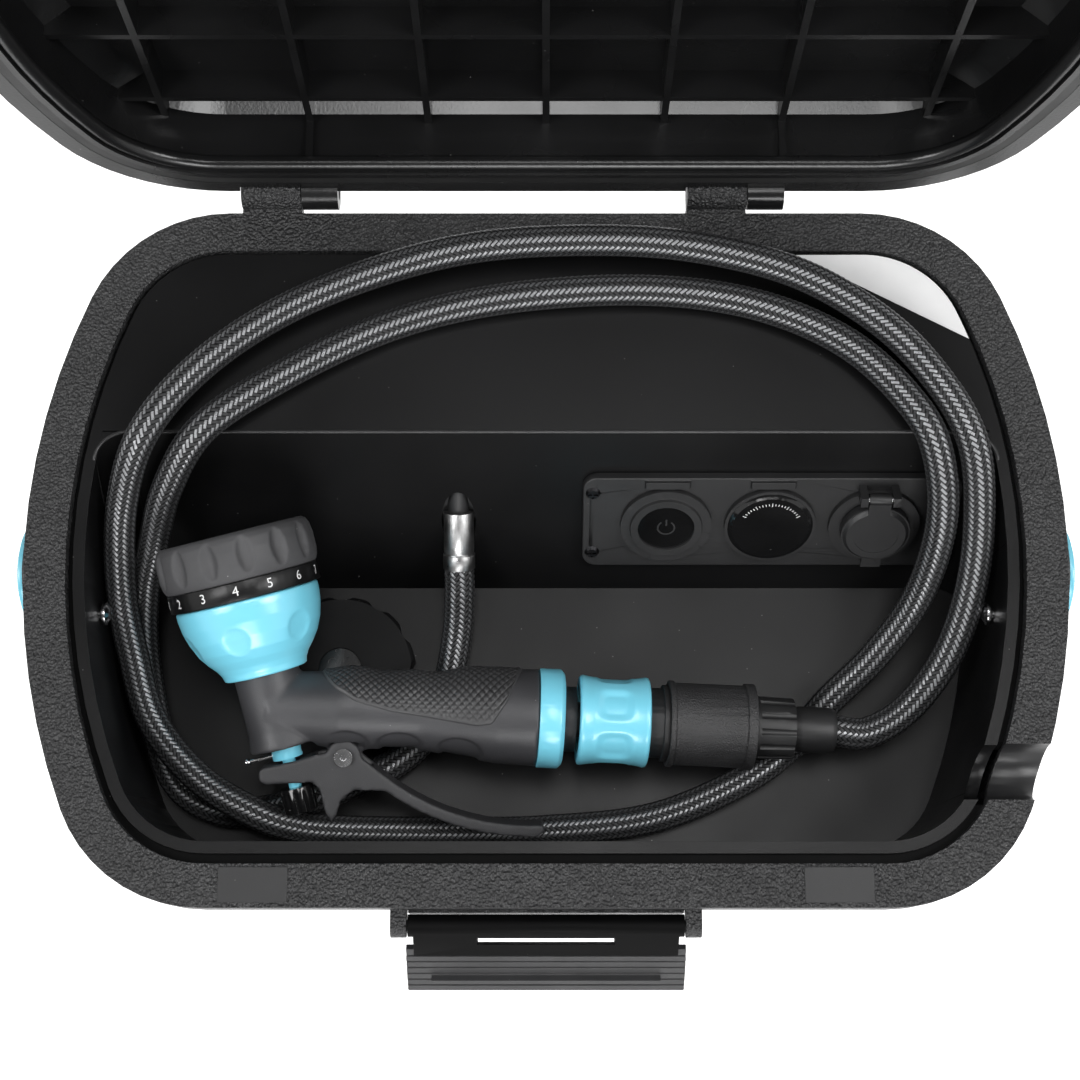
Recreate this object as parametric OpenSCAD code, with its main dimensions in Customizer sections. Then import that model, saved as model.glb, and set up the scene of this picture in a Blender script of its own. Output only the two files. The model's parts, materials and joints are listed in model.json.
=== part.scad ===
// Portable camp shower pump: a lidded water case with a pressure pump, a 12 V panel,
// a braided hose stowed in the top tray and a pistol spray nozzle.
// Units mm, +Z up, -Y is the latch side, origin at the middle of the underside.

/* [Case] */
// Length of the case over the rim
case_len = 405; // [380:1:430]
// Depth of the case over the rim
case_dep = 277; // [265:1:290]
// Height of the rim above the floor
rim_h = 262; // [258:1:280]
// Radius of the bulging short sides
side_r = 267; // [262:1:300]
// Half length of the straight front and back edges
edge_half = 128; // [124:1:130]
// Width of the flat rim
rim_w = 16.3; // [15.8:0.1:16.6]
// Depth of the rim band
rim_t = 14; // [12:0.5:15]
// Step from the rim in to the wall
wall_in = 12; // [11:0.2:12.5]
// Thickness of the case floor
base_t = 5; // [4:0.5:6]

/* [Tray] */
// Drop of the tray top below the rim
tray_drop = 2; // [1.5:0.1:3]
// Thickness of the tray plate and its floor
tray_t = 3; // [2.5:0.1:3.2]
// Depth of the compartment floor below the rim
tray_deep = 73.5; // [73:0.1:75]
// Distance of the shelf edge behind the front of the rim
shelf_front = 184.2; // [182.5:0.1:185.5]
// Slope of the panel wall from the vertical
wall_tilt = 33.9; // [33.2:0.1:34.6]

/* [Lid] */
// Opening angle of the lid as shown
lid_open = 92; // [88:1:94]
// Overhang of the lid edge beyond the rim
lid_over = 4.5; // [3.5:0.1:5]
// Height of the lid above the rim
lid_h = 39.5; // [39:0.5:44]
// Gap between the closed lid edge and the rim
lid_gap = 0.4; // [0.3:0.05:0.6]
// Depth of the stiffening ribs inside the lid
rib_d = 12; // [11:0.5:12.5]
// Spacing of the lid ribs
rib_pitch = 47; // [46:0.1:48]
// Radius of the lid hinge pins
pin_r = 2.5; // [2.2:0.1:2.9]
// Running clearance of a pin in its bore
run_fit = 0.05; // [0.03:0.01:0.09]

/* [Latch] */
// Swing of the open latch from its shut position
latch_open = 140; // [130:1:145]
// Length of the latch from its pin to its tip
latch_len = 36; // [34:0.5:38]
// Half width of the latch
latch_half = 52; // [50:0.5:54]
// Radius of the latch pin
latch_pin_r = 2; // [1.8:0.1:2.4]

/* [Handle] */
// Radius of the swing handle to its grip
bail_r = 190.5; // [189:0.5:193]
// Height of the handle pivot above the floor
bail_z = 212; // [210:1:214]
// Radius of the grip
grip_r = 9.5; // [8.5:0.1:10]
// Radius of the pivot caps
hub_r = 19; // [17:0.5:21]

/* [Panel] */
// Length of the control panel
panel_l = 153; // [150:0.5:154]
// Height of the control panel
panel_h = 47.5; // [46:0.5:49]
// Thickness of the control panel
panel_t = 4; // [3.5:0.1:4.5]
// Spacing of the three modules
module_pitch = 42.5; // [42:0.1:43.5]
// Radius of the module flanges
flange_r = 18.6; // [18:0.1:19]
// Radius of the module barrels
barrel_r = 14.3; // [14:0.1:15]
// Bore radius of the 12 V socket
socket_r = 10.5; // [10.4:0.05:10.8]

/* [Filler] */
// Radius of the filler cap
cap_r = 31; // [29:0.5:32]
// Outer radius of the filler neck
neck_r = 24; // [22:0.2:24.5]
// Height of the filler cap above the tray floor
cap_h = 12; // [11:0.2:12.4]

/* [Nozzle] */
// Radius of the spray head bezel
bezel_r = 31.6; // [30:0.2:32.2]
// Radius of the nozzle neck
nozzle_neck_r = 13; // [12.5:0.1:13.6]
// Radius of the handle end
handle_r = 19.4; // [18.8:0.1:19.5]
// Radius of the sliding connector sleeve
sleeve_r = 18; // [17:0.1:18.4]
// Radius of the hose adapter
adapter_r = 16.5; // [15.8:0.1:17]
// Radius of the valve stem
stem_r = 6; // [5.5:0.1:6.5]
// Radius of the trigger screw
trig_pin_r = 2.4; // [2:0.1:2.8]

/* [Hose] */
// Diameter of the braided hose
hose_d = 12.6; // [12:0.1:12.7]

/* [Hidden] */
$fn = 64;

black = [0.05, 0.05, 0.055];
dark = [0.09, 0.09, 0.095];
blue = [0.25, 0.78, 0.92];
steel = [0.75, 0.75, 0.77];

// plan outline of the case: two bulging sides, four corners, straight front and back
half_a = case_len / 2;
half_b = case_dep / 2;
side_x = half_a - side_r;
corner_r = (side_r * side_r - pow(edge_half - side_x, 2) - half_b * half_b) / (2 * (side_r - half_b));
corner_y = half_b - corner_r;
side_a = atan2(corner_y, edge_half - side_x);
function arc(x, y, r, a0, a1, n, first) =
  [for (i = [first:n]) [x + r * cos(a0 + (a1 - a0) * i / n), y + r * sin(a0 + (a1 - a0) * i / n)]];
function outline(d) = concat(
  arc(side_x, 0, side_r + d, -side_a, side_a, 12, 0),
  arc(edge_half, corner_y, corner_r + d, side_a, 90, 9, 1),
  arc(-edge_half, corner_y, corner_r + d, 90, 180 - side_a, 9, 0),
  arc(-side_x, 0, side_r + d, 180 - side_a, 180 + side_a, 12, 1),
  arc(-edge_half, -corner_y, corner_r + d, 180 + side_a, 270, 9, 1),
  arc(edge_half, -corner_y, corner_r + d, 270, 360 - side_a, 9, 0));
module slab(d, z0, z1, dy = 0) {
  translate([0, dy, z0]) linear_extrude(z1 - z0) polygon(outline(d));
}
module loft(d0, z0, d1, z1, dy = 0) {
  p = outline(d0);
  q = outline(d1);
  n = len(p) - 1;
  low = [for (i = [0:n - 1]) [p[i][0], p[i][1] + dy, z0]];
  top = [for (i = [0:n - 1]) [q[i][0], q[i][1] + dy, z1]];
  sides = [for (i = [0:n - 1]) [i, i + n, (i + 1) % n + n, (i + 1) % n]];
  polyhedron(concat(low, top), concat([[for (i = [0:n - 1]) i]], sides, [[for (i = [n - 1:-1:0]) i + n]]));
}
module along_x(x0, x1, r, y, z) {
  translate([x0, y, z]) rotate([0, 90, 0]) cylinder(r = r, h = x1 - x0);
}

// derived fits
wall_out = -wall_in;
wall_inner = -rim_w;
ledge_in = 3.9;
tray_top = rim_h - tray_drop;
shelf_y = shelf_front - half_b;
tray_y = 1.5;
tray_edge = wall_inner - 2.3;
pocket_top = tray_edge - 4.5;
pocket_low = tray_edge - 6.9;
floor_z = rim_h - tray_deep;
tray_bot = floor_z - tray_t;
wall_n = [0, -cos(wall_tilt), sin(wall_tilt)];
tank_top = tray_bot - 20.5;
hinge_y = half_b + 8;
hinge_z = rim_h + 1;
hinge_x = [-99, 81];
latch_y = -half_b - 5.8;
latch_z = rim_h - 14;
boss_out = half_a + lid_over + 0.6;
module behind_wall(off) {
  translate([-300, shelf_y, tray_top - tray_drop]) rotate([-wall_tilt, 0, 0]) translate([0, off - 400, -300])
    cube([600, 400, 600]);
}
module on_wall() {
  translate([0, shelf_y, tray_top - tray_drop]) rotate([-wall_tilt, 0, 0]) rotate([90, 0, 0]) children();
}
panel_x = 91.5;
panel_s = -43;
module on_panel(k) {
  on_wall() translate([panel_x + k * module_pitch, panel_s, 0]) children();
}

// case
notch_y = 50.5 - half_b;
notch_r = 10.5;
module hose_notch(more = 0) {
  translate([150, notch_y, rim_h]) {
    rotate([0, 90, 0]) cylinder(r = notch_r + more, h = 70);
    translate([0, -notch_r - more, 0]) cube([70, 2 * (notch_r + more), 10]);
  }
}
module outer_shell() color(black) {
  union() {
    difference() {
      union() {
        slab(wall_out - 3, 0, 12);
        slab(wall_out, 10, rim_h - rim_t + 1);
        slab(0, rim_h - rim_t, rim_h);
        for (x = hinge_x) {
          along_x(x - 24, x, 6.5, hinge_y, hinge_z);
          translate([x - 24, half_b - 6, rim_h - 9]) cube([24, 9.5, 9]);
          translate([x - 24, half_b - 2, rim_h - 5]) cube([24, 10, 5]);
        }
        for (s = [-1, 1]) {
          along_x(s * (latch_half + 3.5) - 3, s * (latch_half + 3.5) + 3, 4.5,
            latch_y, latch_z);
          translate([s * (latch_half + 3.5) - 3, latch_y, latch_z - 4.5]) cube([6, 9, 9]);
          along_x(s > 0 ? half_a - wall_in - 4 : -boss_out, s > 0 ? boss_out : 4 + wall_in - half_a,
            hub_r - 2,
            0, bail_z);
          translate([s * 109 - 12.5, -half_b + 2.5, rim_h - 1]) cube([25, 12.5, 1.2]);
        }
        translate([-latch_half, -half_b - 1.1, latch_z - 10]) cube([2 * latch_half, 14, 11]);
        for (x = [-100, -50, 50, 100])
          translate([x - 5, half_b + wall_out - 1, 24]) cube([10, 3, rim_h - 90]);
      }
      slab(wall_inner, base_t, rim_h + 5);
      hose_notch();
      for (s = [-1, 1])
        translate([s * 60 - 45, -half_b - wall_out - 3, 60]) cube([90, 5, 110]);
      along_x(-latch_half - 8, latch_half + 8, latch_pin_r, latch_y, latch_z);
      for (x = hinge_x)
        along_x(x - 25, x + 1, pin_r, hinge_y, hinge_z);
      for (s = [-1, 1])
        along_x(s > 0 ? half_a - wall_in - 6 : -boss_out - 1, s > 0 ? boss_out + 1 : 6 + wall_in - half_a, 5,
          0, bail_z);
    }
    difference() {
      slab(wall_inner + 0.5, tray_top - tray_t - 4, tray_top - tray_t);
      slab(wall_inner - ledge_in, tray_top - tray_t - 5, tray_top - tray_t + 1);
      hose_notch(2.4);
    }
  }
}
fill_x = -85.5;
fill_y = 100.5 - half_b;
module water_tank() color([0.3, 0.32, 0.34]) {
  difference() {
    union() {
      slab(wall_inner - 2, base_t, tank_top);
      translate([fill_x, fill_y, tank_top - 1]) cylinder(r = neck_r, h = floor_z + 7.5 - tank_top + 1);
    }
    slab(wall_inner - 5, base_t + 3, tank_top - 3);
    translate([fill_x, fill_y, tank_top - 10]) cylinder(r = neck_r - 4, h = 60);
    translate([pump_x, pump_y, tank_top - 10]) cylinder(r = 5, h = 20);
  }
}
module top_tray() color(dark) {
  difference() {
    union() {
      slab(tray_edge, tray_top - tray_t, tray_top, tray_y);
      intersection() {
        loft(pocket_low + 2.2, tray_bot, pocket_top + 2.2, tray_top - 1, tray_y);
        behind_wall(tray_t);
      }
      intersection() {
        hose_notch(2);
        slab(tray_edge - 0.2, tray_top - 18, tray_top - 0.5, tray_y);
      }
    }
    intersection() {
      loft(pocket_low, floor_z, pocket_top, tray_top + 1.5, tray_y);
      behind_wall(0);
    }
    on_wall() translate([panel_x - 70, panel_s - 17, -10]) cube([140, 34, 20]);
    on_outlet() cylinder(r = 7, h = 40, center = true);
    for (x = [-1, 1])
      for (y = [-1, 1])
        on_wall() translate([panel_x + x * 72.5, panel_s + y * 16, -6]) cylinder(r = 1.5, h = 12);
    translate([fill_x, fill_y, tray_bot - 5]) cylinder(r = neck_r + 0.4, h = 20);
    along_x(-half_a, half_a, bolt_r, bolt_y, bolt_z);
    hose_notch();
  }
}

// bolts in the side walls of the tray
bolt_r = 2.4;
bolt_y = 116.5 - half_b;
bolt_z = rim_h - 26;
bolt_wall = half_a - 25.1;
module tray_bolts() color(steel) {
  for (s = [-1, 1])
    mirror([s > 0 ? 0 : 1, 0, 0]) {
      along_x(bolt_wall - 1.5, bolt_wall + 5.2, bolt_r, bolt_y, bolt_z);
      along_x(bolt_wall - 2.4, bolt_wall - 0.9, 4.5, bolt_y, bolt_z);
      translate([bolt_wall - 2.3, bolt_y, bolt_z]) rotate([0, -90, 0]) cylinder(r1 = 4.2, r2 = 2.4, h = 1.3);
    }
}

// panel modules, drawn in the wall frame: z is out of the wall
module control_panel() color(black) {
  difference() {
    union() {
      on_wall() translate([panel_x - panel_l / 2 + 6, panel_s - panel_h / 2, 0])
        cube([panel_l - 12, panel_h, panel_t]);
      on_wall() translate([panel_x - panel_l / 2, panel_s - panel_h / 2 + 6, 0])
        cube([panel_l, panel_h - 12, panel_t]);
      for (x = [-1, 1])
        for (y = [-1, 1])
          on_wall() translate([panel_x + x * (panel_l / 2 - 6), panel_s + y * (panel_h / 2 - 6), 0])
            cylinder(r = 6, h = panel_t);
      for (k = [-1:0])
        on_panel(k) translate([-9, flange_r + 0.6, 0]) cube([18, 3.4, panel_t + 1.6]);
    }
    for (k = [-1:1])
      on_panel(k) translate([0, 0, -5]) cylinder(r = barrel_r, h = 20);
    for (x = [-1, 1])
      for (y = [-1, 1])
        on_wall() translate([panel_x + x * 72.5, panel_s + y * 16, -1]) cylinder(r = 1.5, h = 12);
  }
}
module panel_screws() color(black) {
  for (x = [-1, 1])
    for (y = [-1, 1])
      on_wall() translate([panel_x + x * 72.5, panel_s + y * 16, panel_t])
        difference() {
          union() {
            cylinder(r1 = 3, r2 = 2.2, h = 1.2);
            translate([0, 0, -9]) cylinder(r = 1.5, h = 9.5);
          }
          translate([-2, -0.35, 0.5]) cube([4, 0.7, 2]);
          translate([-0.35, -2, 0.5]) cube([0.7, 4, 2]);
        }
}
button_r = 11.5;
module switch_housing() color(dark) {
  on_panel(-1) difference() {
    union() {
      translate([0, 0, panel_t]) cylinder(r = flange_r, h = 2.5);
      translate([0, 0, panel_t]) cylinder(r1 = 15.5, r2 = 14.5, h = 4);
      translate([0, 0, -24]) cylinder(r = barrel_r, h = 25 + panel_t);
    }
    translate([0, 0, panel_t - 8]) cylinder(r = button_r + run_fit, h = 20);
    translate([0, 0, panel_t - 16]) cylinder(r = 4, h = 20);
  }
}
module power_button() color(black) {
  on_panel(-1) {
    translate([0, 0, panel_t - 5]) cylinder(r = button_r, h = 8);
    translate([0, 0, panel_t - 12.5]) cylinder(r = 3.9, h = 8);
  }
}
module voltmeter_housing() color(black) {
  on_panel(0) difference() {
    union() {
      translate([0, 0, panel_t]) cylinder(r = flange_r, h = 2.5);
      translate([0, 0, -18]) cylinder(r = barrel_r, h = 19 + panel_t);
    }
    translate([0, 0, panel_t + 1]) cylinder(r = flange_r - 1.2, h = 5);
  }
}
module voltmeter_lens() color([0.02, 0.02, 0.03]) {
  on_panel(0) {
    translate([0, 0, panel_t + 1]) cylinder(r = flange_r - 1.2, h = 1.6);
    translate([0, 0, panel_t + 2.6]) cylinder(r1 = flange_r - 1.2, r2 = flange_r - 3, h = 0.8);
  }
}
cap_pin_y = flange_r - 0.5;
cap_pin_z = 6.5;
cap_pin_r = 1.2;
// the flap's plug sits in a shallow counterbore, clear of the bore itself
cap_seat = 0.5;
module socket_housing() color(dark) {
  on_panel(1) difference() {
    union() {
      translate([0, 0, panel_t]) cylinder(r = flange_r, h = 2.5);
      translate([0, 0, -44]) cylinder(r = barrel_r, h = 45 + panel_t);
      for (s = [-1, 1])
        translate([s * 6.5 - 1.5, cap_pin_y - 2.2, panel_t]) cube([3, 4.4, cap_pin_z + 2.2]);
    }
    translate([0, 0, -38]) cylinder(r = socket_r, h = 60);
    translate([0, 0, panel_t - cap_seat]) cylinder(r = socket_r + 1.2, h = 20);
    along_x(-9, 9, cap_pin_r, cap_pin_y, panel_t + cap_pin_z);
  }
}
module cap_hinge_pin() color(steel) {
  on_panel(1) along_x(-8, 8, cap_pin_r, cap_pin_y, panel_t + cap_pin_z);
}
module socket_cap() color(black) {
  on_panel(1) difference() {
    union() {
      translate([0, 0, panel_t + 3]) cylinder(r = 14, h = 4);
      translate([0, 0, panel_t + 7]) cylinder(r1 = 13.4, r2 = 12, h = 1.4);
      translate([0, 0, panel_t]) cylinder(r = socket_r - 1.5, h = 4);
      translate([-4.4, 8, panel_t + 4]) cube([8.8, cap_pin_y - 8, 4.4]);
      translate([-4.4, cap_pin_y, panel_t + cap_pin_z]) rotate([0, 90, 0]) cylinder(r = 2.3, h = 8.8);
      translate([-4, -19, panel_t + 4]) cube([8, 6, 2]);
    }
    along_x(-9, 9, cap_pin_r + run_fit, cap_pin_y, panel_t + cap_pin_z);
    translate([0, 0, panel_t + 8]) cylinder(r = 9, h = 3);
  }
}

// hose outlet in the sloping wall: the ferrule points forward and down
outlet_x = -36;
outlet_s = -45.5;
outlet_tilt = 29;
outlet_p = [outlet_x, shelf_y + outlet_s * sin(wall_tilt), tray_top - tray_drop + outlet_s * cos(wall_tilt)];
module on_outlet() {
  translate(outlet_p) rotate([90 + outlet_tilt, 0, 0]) children();
}
module outlet_fitting() color(steel) {
  difference() {
    union() {
      on_outlet() translate([0, 0, -30]) cylinder(r = 4.2, h = 26);
      on_wall() translate([outlet_x, outlet_s + 6, -tray_t - 3]) cylinder(r = 19, h = 3);
    }
    on_outlet() translate([0, 0, -31]) cylinder(r = 2.6, h = 40);
    on_outlet() translate([0, 0, -4]) cylinder(r = 6.5, h = 40);
  }
}
ferrule_end = 20;
module hose_ferrule() color(steel) {
  on_outlet() union() {
    translate([0, 0, -4]) cylinder(r = 6.2, h = 17);
    translate([0, 0, 12.5]) cylinder(r = 5.8, h = 2);
    translate([0, 0, 14]) cylinder(r = 6.6, h = ferrule_end - 14);
  }
}

// works under the shelf
works_y = half_b - 21.5;
works_d = half_b - shelf_y - 37.8;
motor_r = works_d / 2.2;
pump_x = -36;
pump_y = works_y - 13;
pump_z = tank_top + 25;
module pump_bracket() color(dark) {
  difference() {
    translate([-140, works_y - works_d + 2, tank_top]) cube([128, works_d - 3, 25]);
    translate([-130, works_y - works_d - 2, tank_top + 4]) cube([84, works_d + 5, 17]);
    translate([pump_x, pump_y, tank_top - 1]) cylinder(r = 5, h = 30);
  }
}
module pump_motor() color([0.25, 0.25, 0.27]) {
  along_x(-138, -60, motor_r, works_y - works_d / 2, pump_z + motor_r);
  along_x(-142, -137, 8, works_y - works_d / 2, pump_z + motor_r);
}
module pump_head() color(dark) {
  union() {
    translate([-60, works_y - works_d, pump_z]) cube([48, works_d, 60]);
    on_outlet() translate([0, 0, -60]) cylinder(r = 8, h = 16);
  }
}
module battery_pack() color([0.15, 0.2, 0.3]) {
  difference() {
    translate([8, works_y - 41, tank_top]) cube([108, 40, 60]);
    for (x = [30, 94])
      translate([x - 4, works_y - 42, tank_top + 30]) cube([8, 2, 31]);
  }
}
module pickup_tube() color([0.6, 0.6, 0.62]) {
  difference() {
    translate([pump_x, pump_y, base_t + 8]) cylinder(r = 5, h = pump_z - base_t - 8);
    translate([pump_x, pump_y, base_t]) cylinder(r = 3.5, h = pump_z - base_t - 2);
  }
}
module delivery_tube() color([0.6, 0.6, 0.62]) {
  on_outlet() difference() {
    translate([0, 0, -44]) cylinder(r = 6, h = 18);
    translate([0, 0, -45]) cylinder(r = 3.2, h = 16);
    translate([0, 0, -30]) cylinder(r = 4.2, h = 10);
  }
}

// filler
module fill_cap() color(black) {
  translate([fill_x, fill_y, floor_z]) difference() {
    union() {
      translate([0, 0, 0.5]) cylinder(r = cap_r, h = cap_h - 2);
      translate([0, 0, cap_h - 1.5]) cylinder(r1 = cap_r, r2 = cap_r - 1.5, h = 1.5);
    }
    translate([0, 0, -1]) cylinder(r = neck_r + run_fit, h = 10.3);
    translate([0, 0, cap_h - 2.2]) cylinder(r = 9, h = 5);
    for (a = [0:30:359])
      rotate([0, 0, a]) translate([cap_r + 6.2, 0, -1]) cylinder(r = 8, h = cap_h + 3);
  }
}
module cap_gasket() color([0.1, 0.1, 0.1]) {
  translate([fill_x, fill_y, floor_z + 7.55]) difference() {
    cylinder(r = neck_r - 0.3, h = 1.75);
    translate([0, 0, -1]) cylinder(r = neck_r - 5, h = 5);
  }
}
module vent_insert() color(black) {
  translate([fill_x, fill_y, floor_z + cap_h - 2.2]) difference() {
    cylinder(r = 8.8, h = 1.5);
    for (a = [45:90:359])
      rotate([0, 0, a]) translate([4.4, 0, 0.7]) cylinder(r = 1.9, h = 2);
  }
}

// lid, drawn shut and swung open about its hinge
module in_lid() {
  translate([0, hinge_y, hinge_z]) rotate([-lid_open, 0, 0]) translate([0, -hinge_y, -hinge_z]) children();
}
lid_z = rim_h + lid_gap;
ceil_z = rim_h + lid_h - 5;
module lid_shell() color(black) {
  in_lid() {
    difference() {
      union() {
        slab(lid_over, lid_z, rim_h + 10);
        loft(lid_over, rim_h + 10, lid_over - 3, rim_h + 12.5);
        loft(-1, rim_h + 10, -4, rim_h + lid_h - 12);
        loft(-4, rim_h + lid_h - 12, -9, rim_h + lid_h - 4);
        loft(-9, rim_h + lid_h - 4, -16, rim_h + lid_h);
        for (x = hinge_x) {
          along_x(x + 0.4, x + 15, 6.5, hinge_y, hinge_z);
          translate([x + 0.4, half_b - 2, lid_z]) cube([14.6, 10, 6]);
        }
      }
      loft(-9.5, lid_z - 1, -11, rim_h + lid_h - 13);
      loft(-11, rim_h + lid_h - 13.01, -20, ceil_z);
      difference() {
        slab(-3, lid_z - 1, lid_z + 2.5);
        slab(-7, lid_z - 2, lid_z + 3.5);
      }
      for (x = hinge_x)
        along_x(x - 1, x + 16, pin_r + run_fit, hinge_y, hinge_z);
      for (x = hinge_x)
        along_x(x - 24.6, x + 0.4, 7.2, hinge_y, hinge_z);
    }
    intersection() {
      union() {
        for (x = [-151, -2 * rib_pitch, -rib_pitch, 0, rib_pitch, 2 * rib_pitch, 151])
          translate([x - 1.4, -half_b, ceil_z - rib_d]) cube([2.8, case_dep, rib_d + 1]);
        for (k = [0:4])
          translate([-half_a, half_b - 31.5 - k * 45.5, ceil_z - rib_d]) cube([case_len, 2.8, rib_d + 1]);
      }
      slab(-10, ceil_z - rib_d - 0.5, ceil_z + 0.6);
    }
    for (s = [-1, 1])
      translate([s * 2 * rib_pitch - 1.4, half_b - 13, lid_z + 1]) cube([2.8, 4, 22]);
  }
}
module lid_seal() color([0.03, 0.03, 0.03]) {
  in_lid() difference() {
    slab(-3, lid_z + 0.1, lid_z + 2.5);
    slab(-7, lid_z - 1, lid_z + 3);
  }
}
module hinge_pins() color(steel) {
  for (x = hinge_x)
    along_x(x - 24, x + 14, pin_r, hinge_y, hinge_z);
}

// latch, drawn shut and swung open
module in_latch() {
  translate([0, latch_y, latch_z]) rotate([latch_open, 0, 0]) children();
}
module latch_plate() color(black) {
  in_latch() difference() {
    union() {
      along_x(-latch_half, latch_half, 4.2, 0, 0);
      translate([-latch_half + 2, -4.2, 0]) cube([latch_half * 2 - 4, 8.4, 12]);
      translate([-latch_half + 2, -4.2, 11]) cube([latch_half * 2 - 4, 4, latch_len - 28]);
      translate([-latch_half - 1.5, -6, latch_len - 18]) cube([latch_half * 2 + 3, 6, 18]);
      translate([-latch_half + 8, -1, rim_h + 13.5 - latch_z]) cube([latch_half * 2 - 16, 4, 2]);
    }
    along_x(-latch_half - 1, latch_half + 1, latch_pin_r + run_fit, 0, 0);
    for (z = [16.2, 13, 4.5, 2.2])
      translate([-latch_half - 3, -1, latch_len - z]) cube([latch_half * 2 + 6, 1.6, 1.4]);
    translate([0, 0, 8]) rotate([-42.5, 0, 0]) translate([-26, -14, -1.3]) cube([52, 28, 2.6]);
  }
}
module latch_pin() color(steel) {
  along_x(-latch_half - 6.5, latch_half + 6.5, latch_pin_r, latch_y, latch_z);
}

// swing handle, parked behind the case
module in_handle() {
  translate([0, 0, bail_z]) rotate([-bail_down, 0, 0]) children();
}
arm_x = boss_out + 0.4;
arm_t = 3.6;
bail_down = acos((half_b + 0.8) / bail_r);
function hoop(x, r, y) = concat([[x, 0]], arc(x - r, y - r, r, 0, 90, 8, 0),
  arc(r - x, y - r, r, 90, 180, 8, 0), [[-x, 0]]);
module handle_bail() color(black) {
  in_handle() difference() {
    union() {
      difference() {
        translate([0, 0, -9]) linear_extrude(18) polygon(hoop(arm_x + arm_t, 60, bail_r + 2.5));
        translate([0, -1, -10]) linear_extrude(20) polygon(hoop(arm_x, 55, bail_r - 1.5));
        translate([-61, bail_r - grip_r - 1, -10]) cube([122, 20, 20]);
      }
      for (s = [-1, 1])
        along_x(s > 0 ? arm_x : -arm_x - arm_t, s > 0 ? arm_x + arm_t : -arm_x, hub_r, 0, 0);
      along_x(-62, 62, 5, bail_r, 0);
    }
    for (s = [-1, 1])
      along_x(s > 0 ? arm_x - 1 : -arm_x - arm_t - 1, s > 0 ? arm_x + arm_t + 1 : 1 - arm_x,
        5 + run_fit, 0, 0);
  }
}
module handle_grip() color(dark) {
  in_handle() difference() {
    along_x(-61, 61, grip_r, bail_r, 0);
    along_x(-62, 62, 5, bail_r, 0);
    for (k = [-2:2])
      along_x(k * 20 - 1, k * 20 + 1, grip_r + 1, bail_r + 2 * grip_r, 0);
  }
}
module hub_caps() color(blue) {
  in_handle() for (s = [-1, 1])
    mirror([s > 0 ? 0 : 1, 0, 0]) translate([arm_x + arm_t, 0, 0]) rotate([0, 90, 0]) difference() {
      union() {
        cylinder(r = hub_r, h = 1.6);
        translate([0, 0, 1.6]) cylinder(r1 = hub_r, r2 = hub_r - 5, h = 1.8);
      }
      translate([0, 0, -1]) cylinder(r = 8.5, h = 3.2);
    }
}
module pivot_bolts() color(steel) {
  for (s = [-1, 1])
    mirror([s > 0 ? 0 : 1, 0, 0]) {
      along_x(half_a - wall_in - 5.5, arm_x + arm_t + 0.3, 5, 0, bail_z);
      along_x(arm_x + arm_t + 0.3, arm_x + arm_t + 1.8, 8, 0, bail_z);
    }
}

// spray nozzle, lying on its side in the tray
nozzle_p = [-111.6, 80.5 - half_b, rim_h - 32.2];
nozzle_turn = -2;
nozzle_pitch = 3.5;
nozzle_roll = 16;
module in_nozzle() {
  translate(nozzle_p) rotate([0, 0, nozzle_turn]) rotate([0, nozzle_pitch, 0])
    rotate([nozzle_roll, 0, 0]) children();
}
module ax(u0, u1, r0, r1) {
  translate([u0, 0, 0]) rotate([0, 90, 0]) cylinder(r1 = r0, r2 = r1, h = u1 - u0);
}
head_p = [8.65, -15.35, 0];
head_turn = 16.9;
module in_head() {
  in_nozzle() translate(head_p) rotate([0, 0, head_turn]) rotate([-90, 0, 0]) children();
}
pivot_u = [32.3, -18.2];
lug_t = 8;
hub_u = 6.8;
module nozzle_body() color(dark) {
  difference() {
    union() {
      in_head() cylinder(r = nozzle_neck_r, h = 32);
      in_head() cylinder(r1 = nozzle_neck_r + 1.2, r2 = nozzle_neck_r, h = 7);
      in_nozzle() {
        ax(2, 30, 13.5, 15.5);
        ax(30, 62, 15.5, 14.8);
        ax(62, 92, 14.8, handle_r - 0.6);
        ax(92, 108.5, handle_r - 0.6, handle_r);
        translate([0, 0, -lug_t / 2]) linear_extrude(lug_t)
          polygon([[25, -8], [26.5, -18], [28.5, -22.2], [32.3, -23.6], [36, -22.2], [43, -12], [43, -8]]);
      }
    }
    in_head() translate([0, 0, -1]) cylinder(r = stem_r + run_fit, h = 18);
    in_head() translate([0, 0, 10]) cylinder(r = 4, h = 30);
    in_nozzle() translate([pivot_u[0], pivot_u[1], -12]) cylinder(r = trig_pin_r, h = 24);
    for (s = [-1, 1])
      in_nozzle() translate([pivot_u[0], pivot_u[1], s > 0 ? lug_t / 2 : -lug_t / 2 - 4])
        cylinder(r = hub_u + 0.8, h = 4);
    in_head() translate([-30, -20, -20]) cube([42, 40, 20]);
    in_nozzle() ax(86, 110, 6, 6);
  }
}
module grip_pad() color([0.12, 0.12, 0.125]) {
  in_nozzle() intersection() {
    difference() {
      union() {
        ax(24, 30, 15.9, 16.3);
        ax(30, 62, 16.3, 15.6);
        ax(62, 92, 15.6, handle_r + 0.2);
      }
      ax(23, 30, 15.06, 15.56);
      ax(30, 62, 15.56, 14.86);
      ax(62, 92, 14.86, handle_r - 0.54);
    }
    translate([20, 4, -14]) cube([70, 30, 28]);
  }
}
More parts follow.
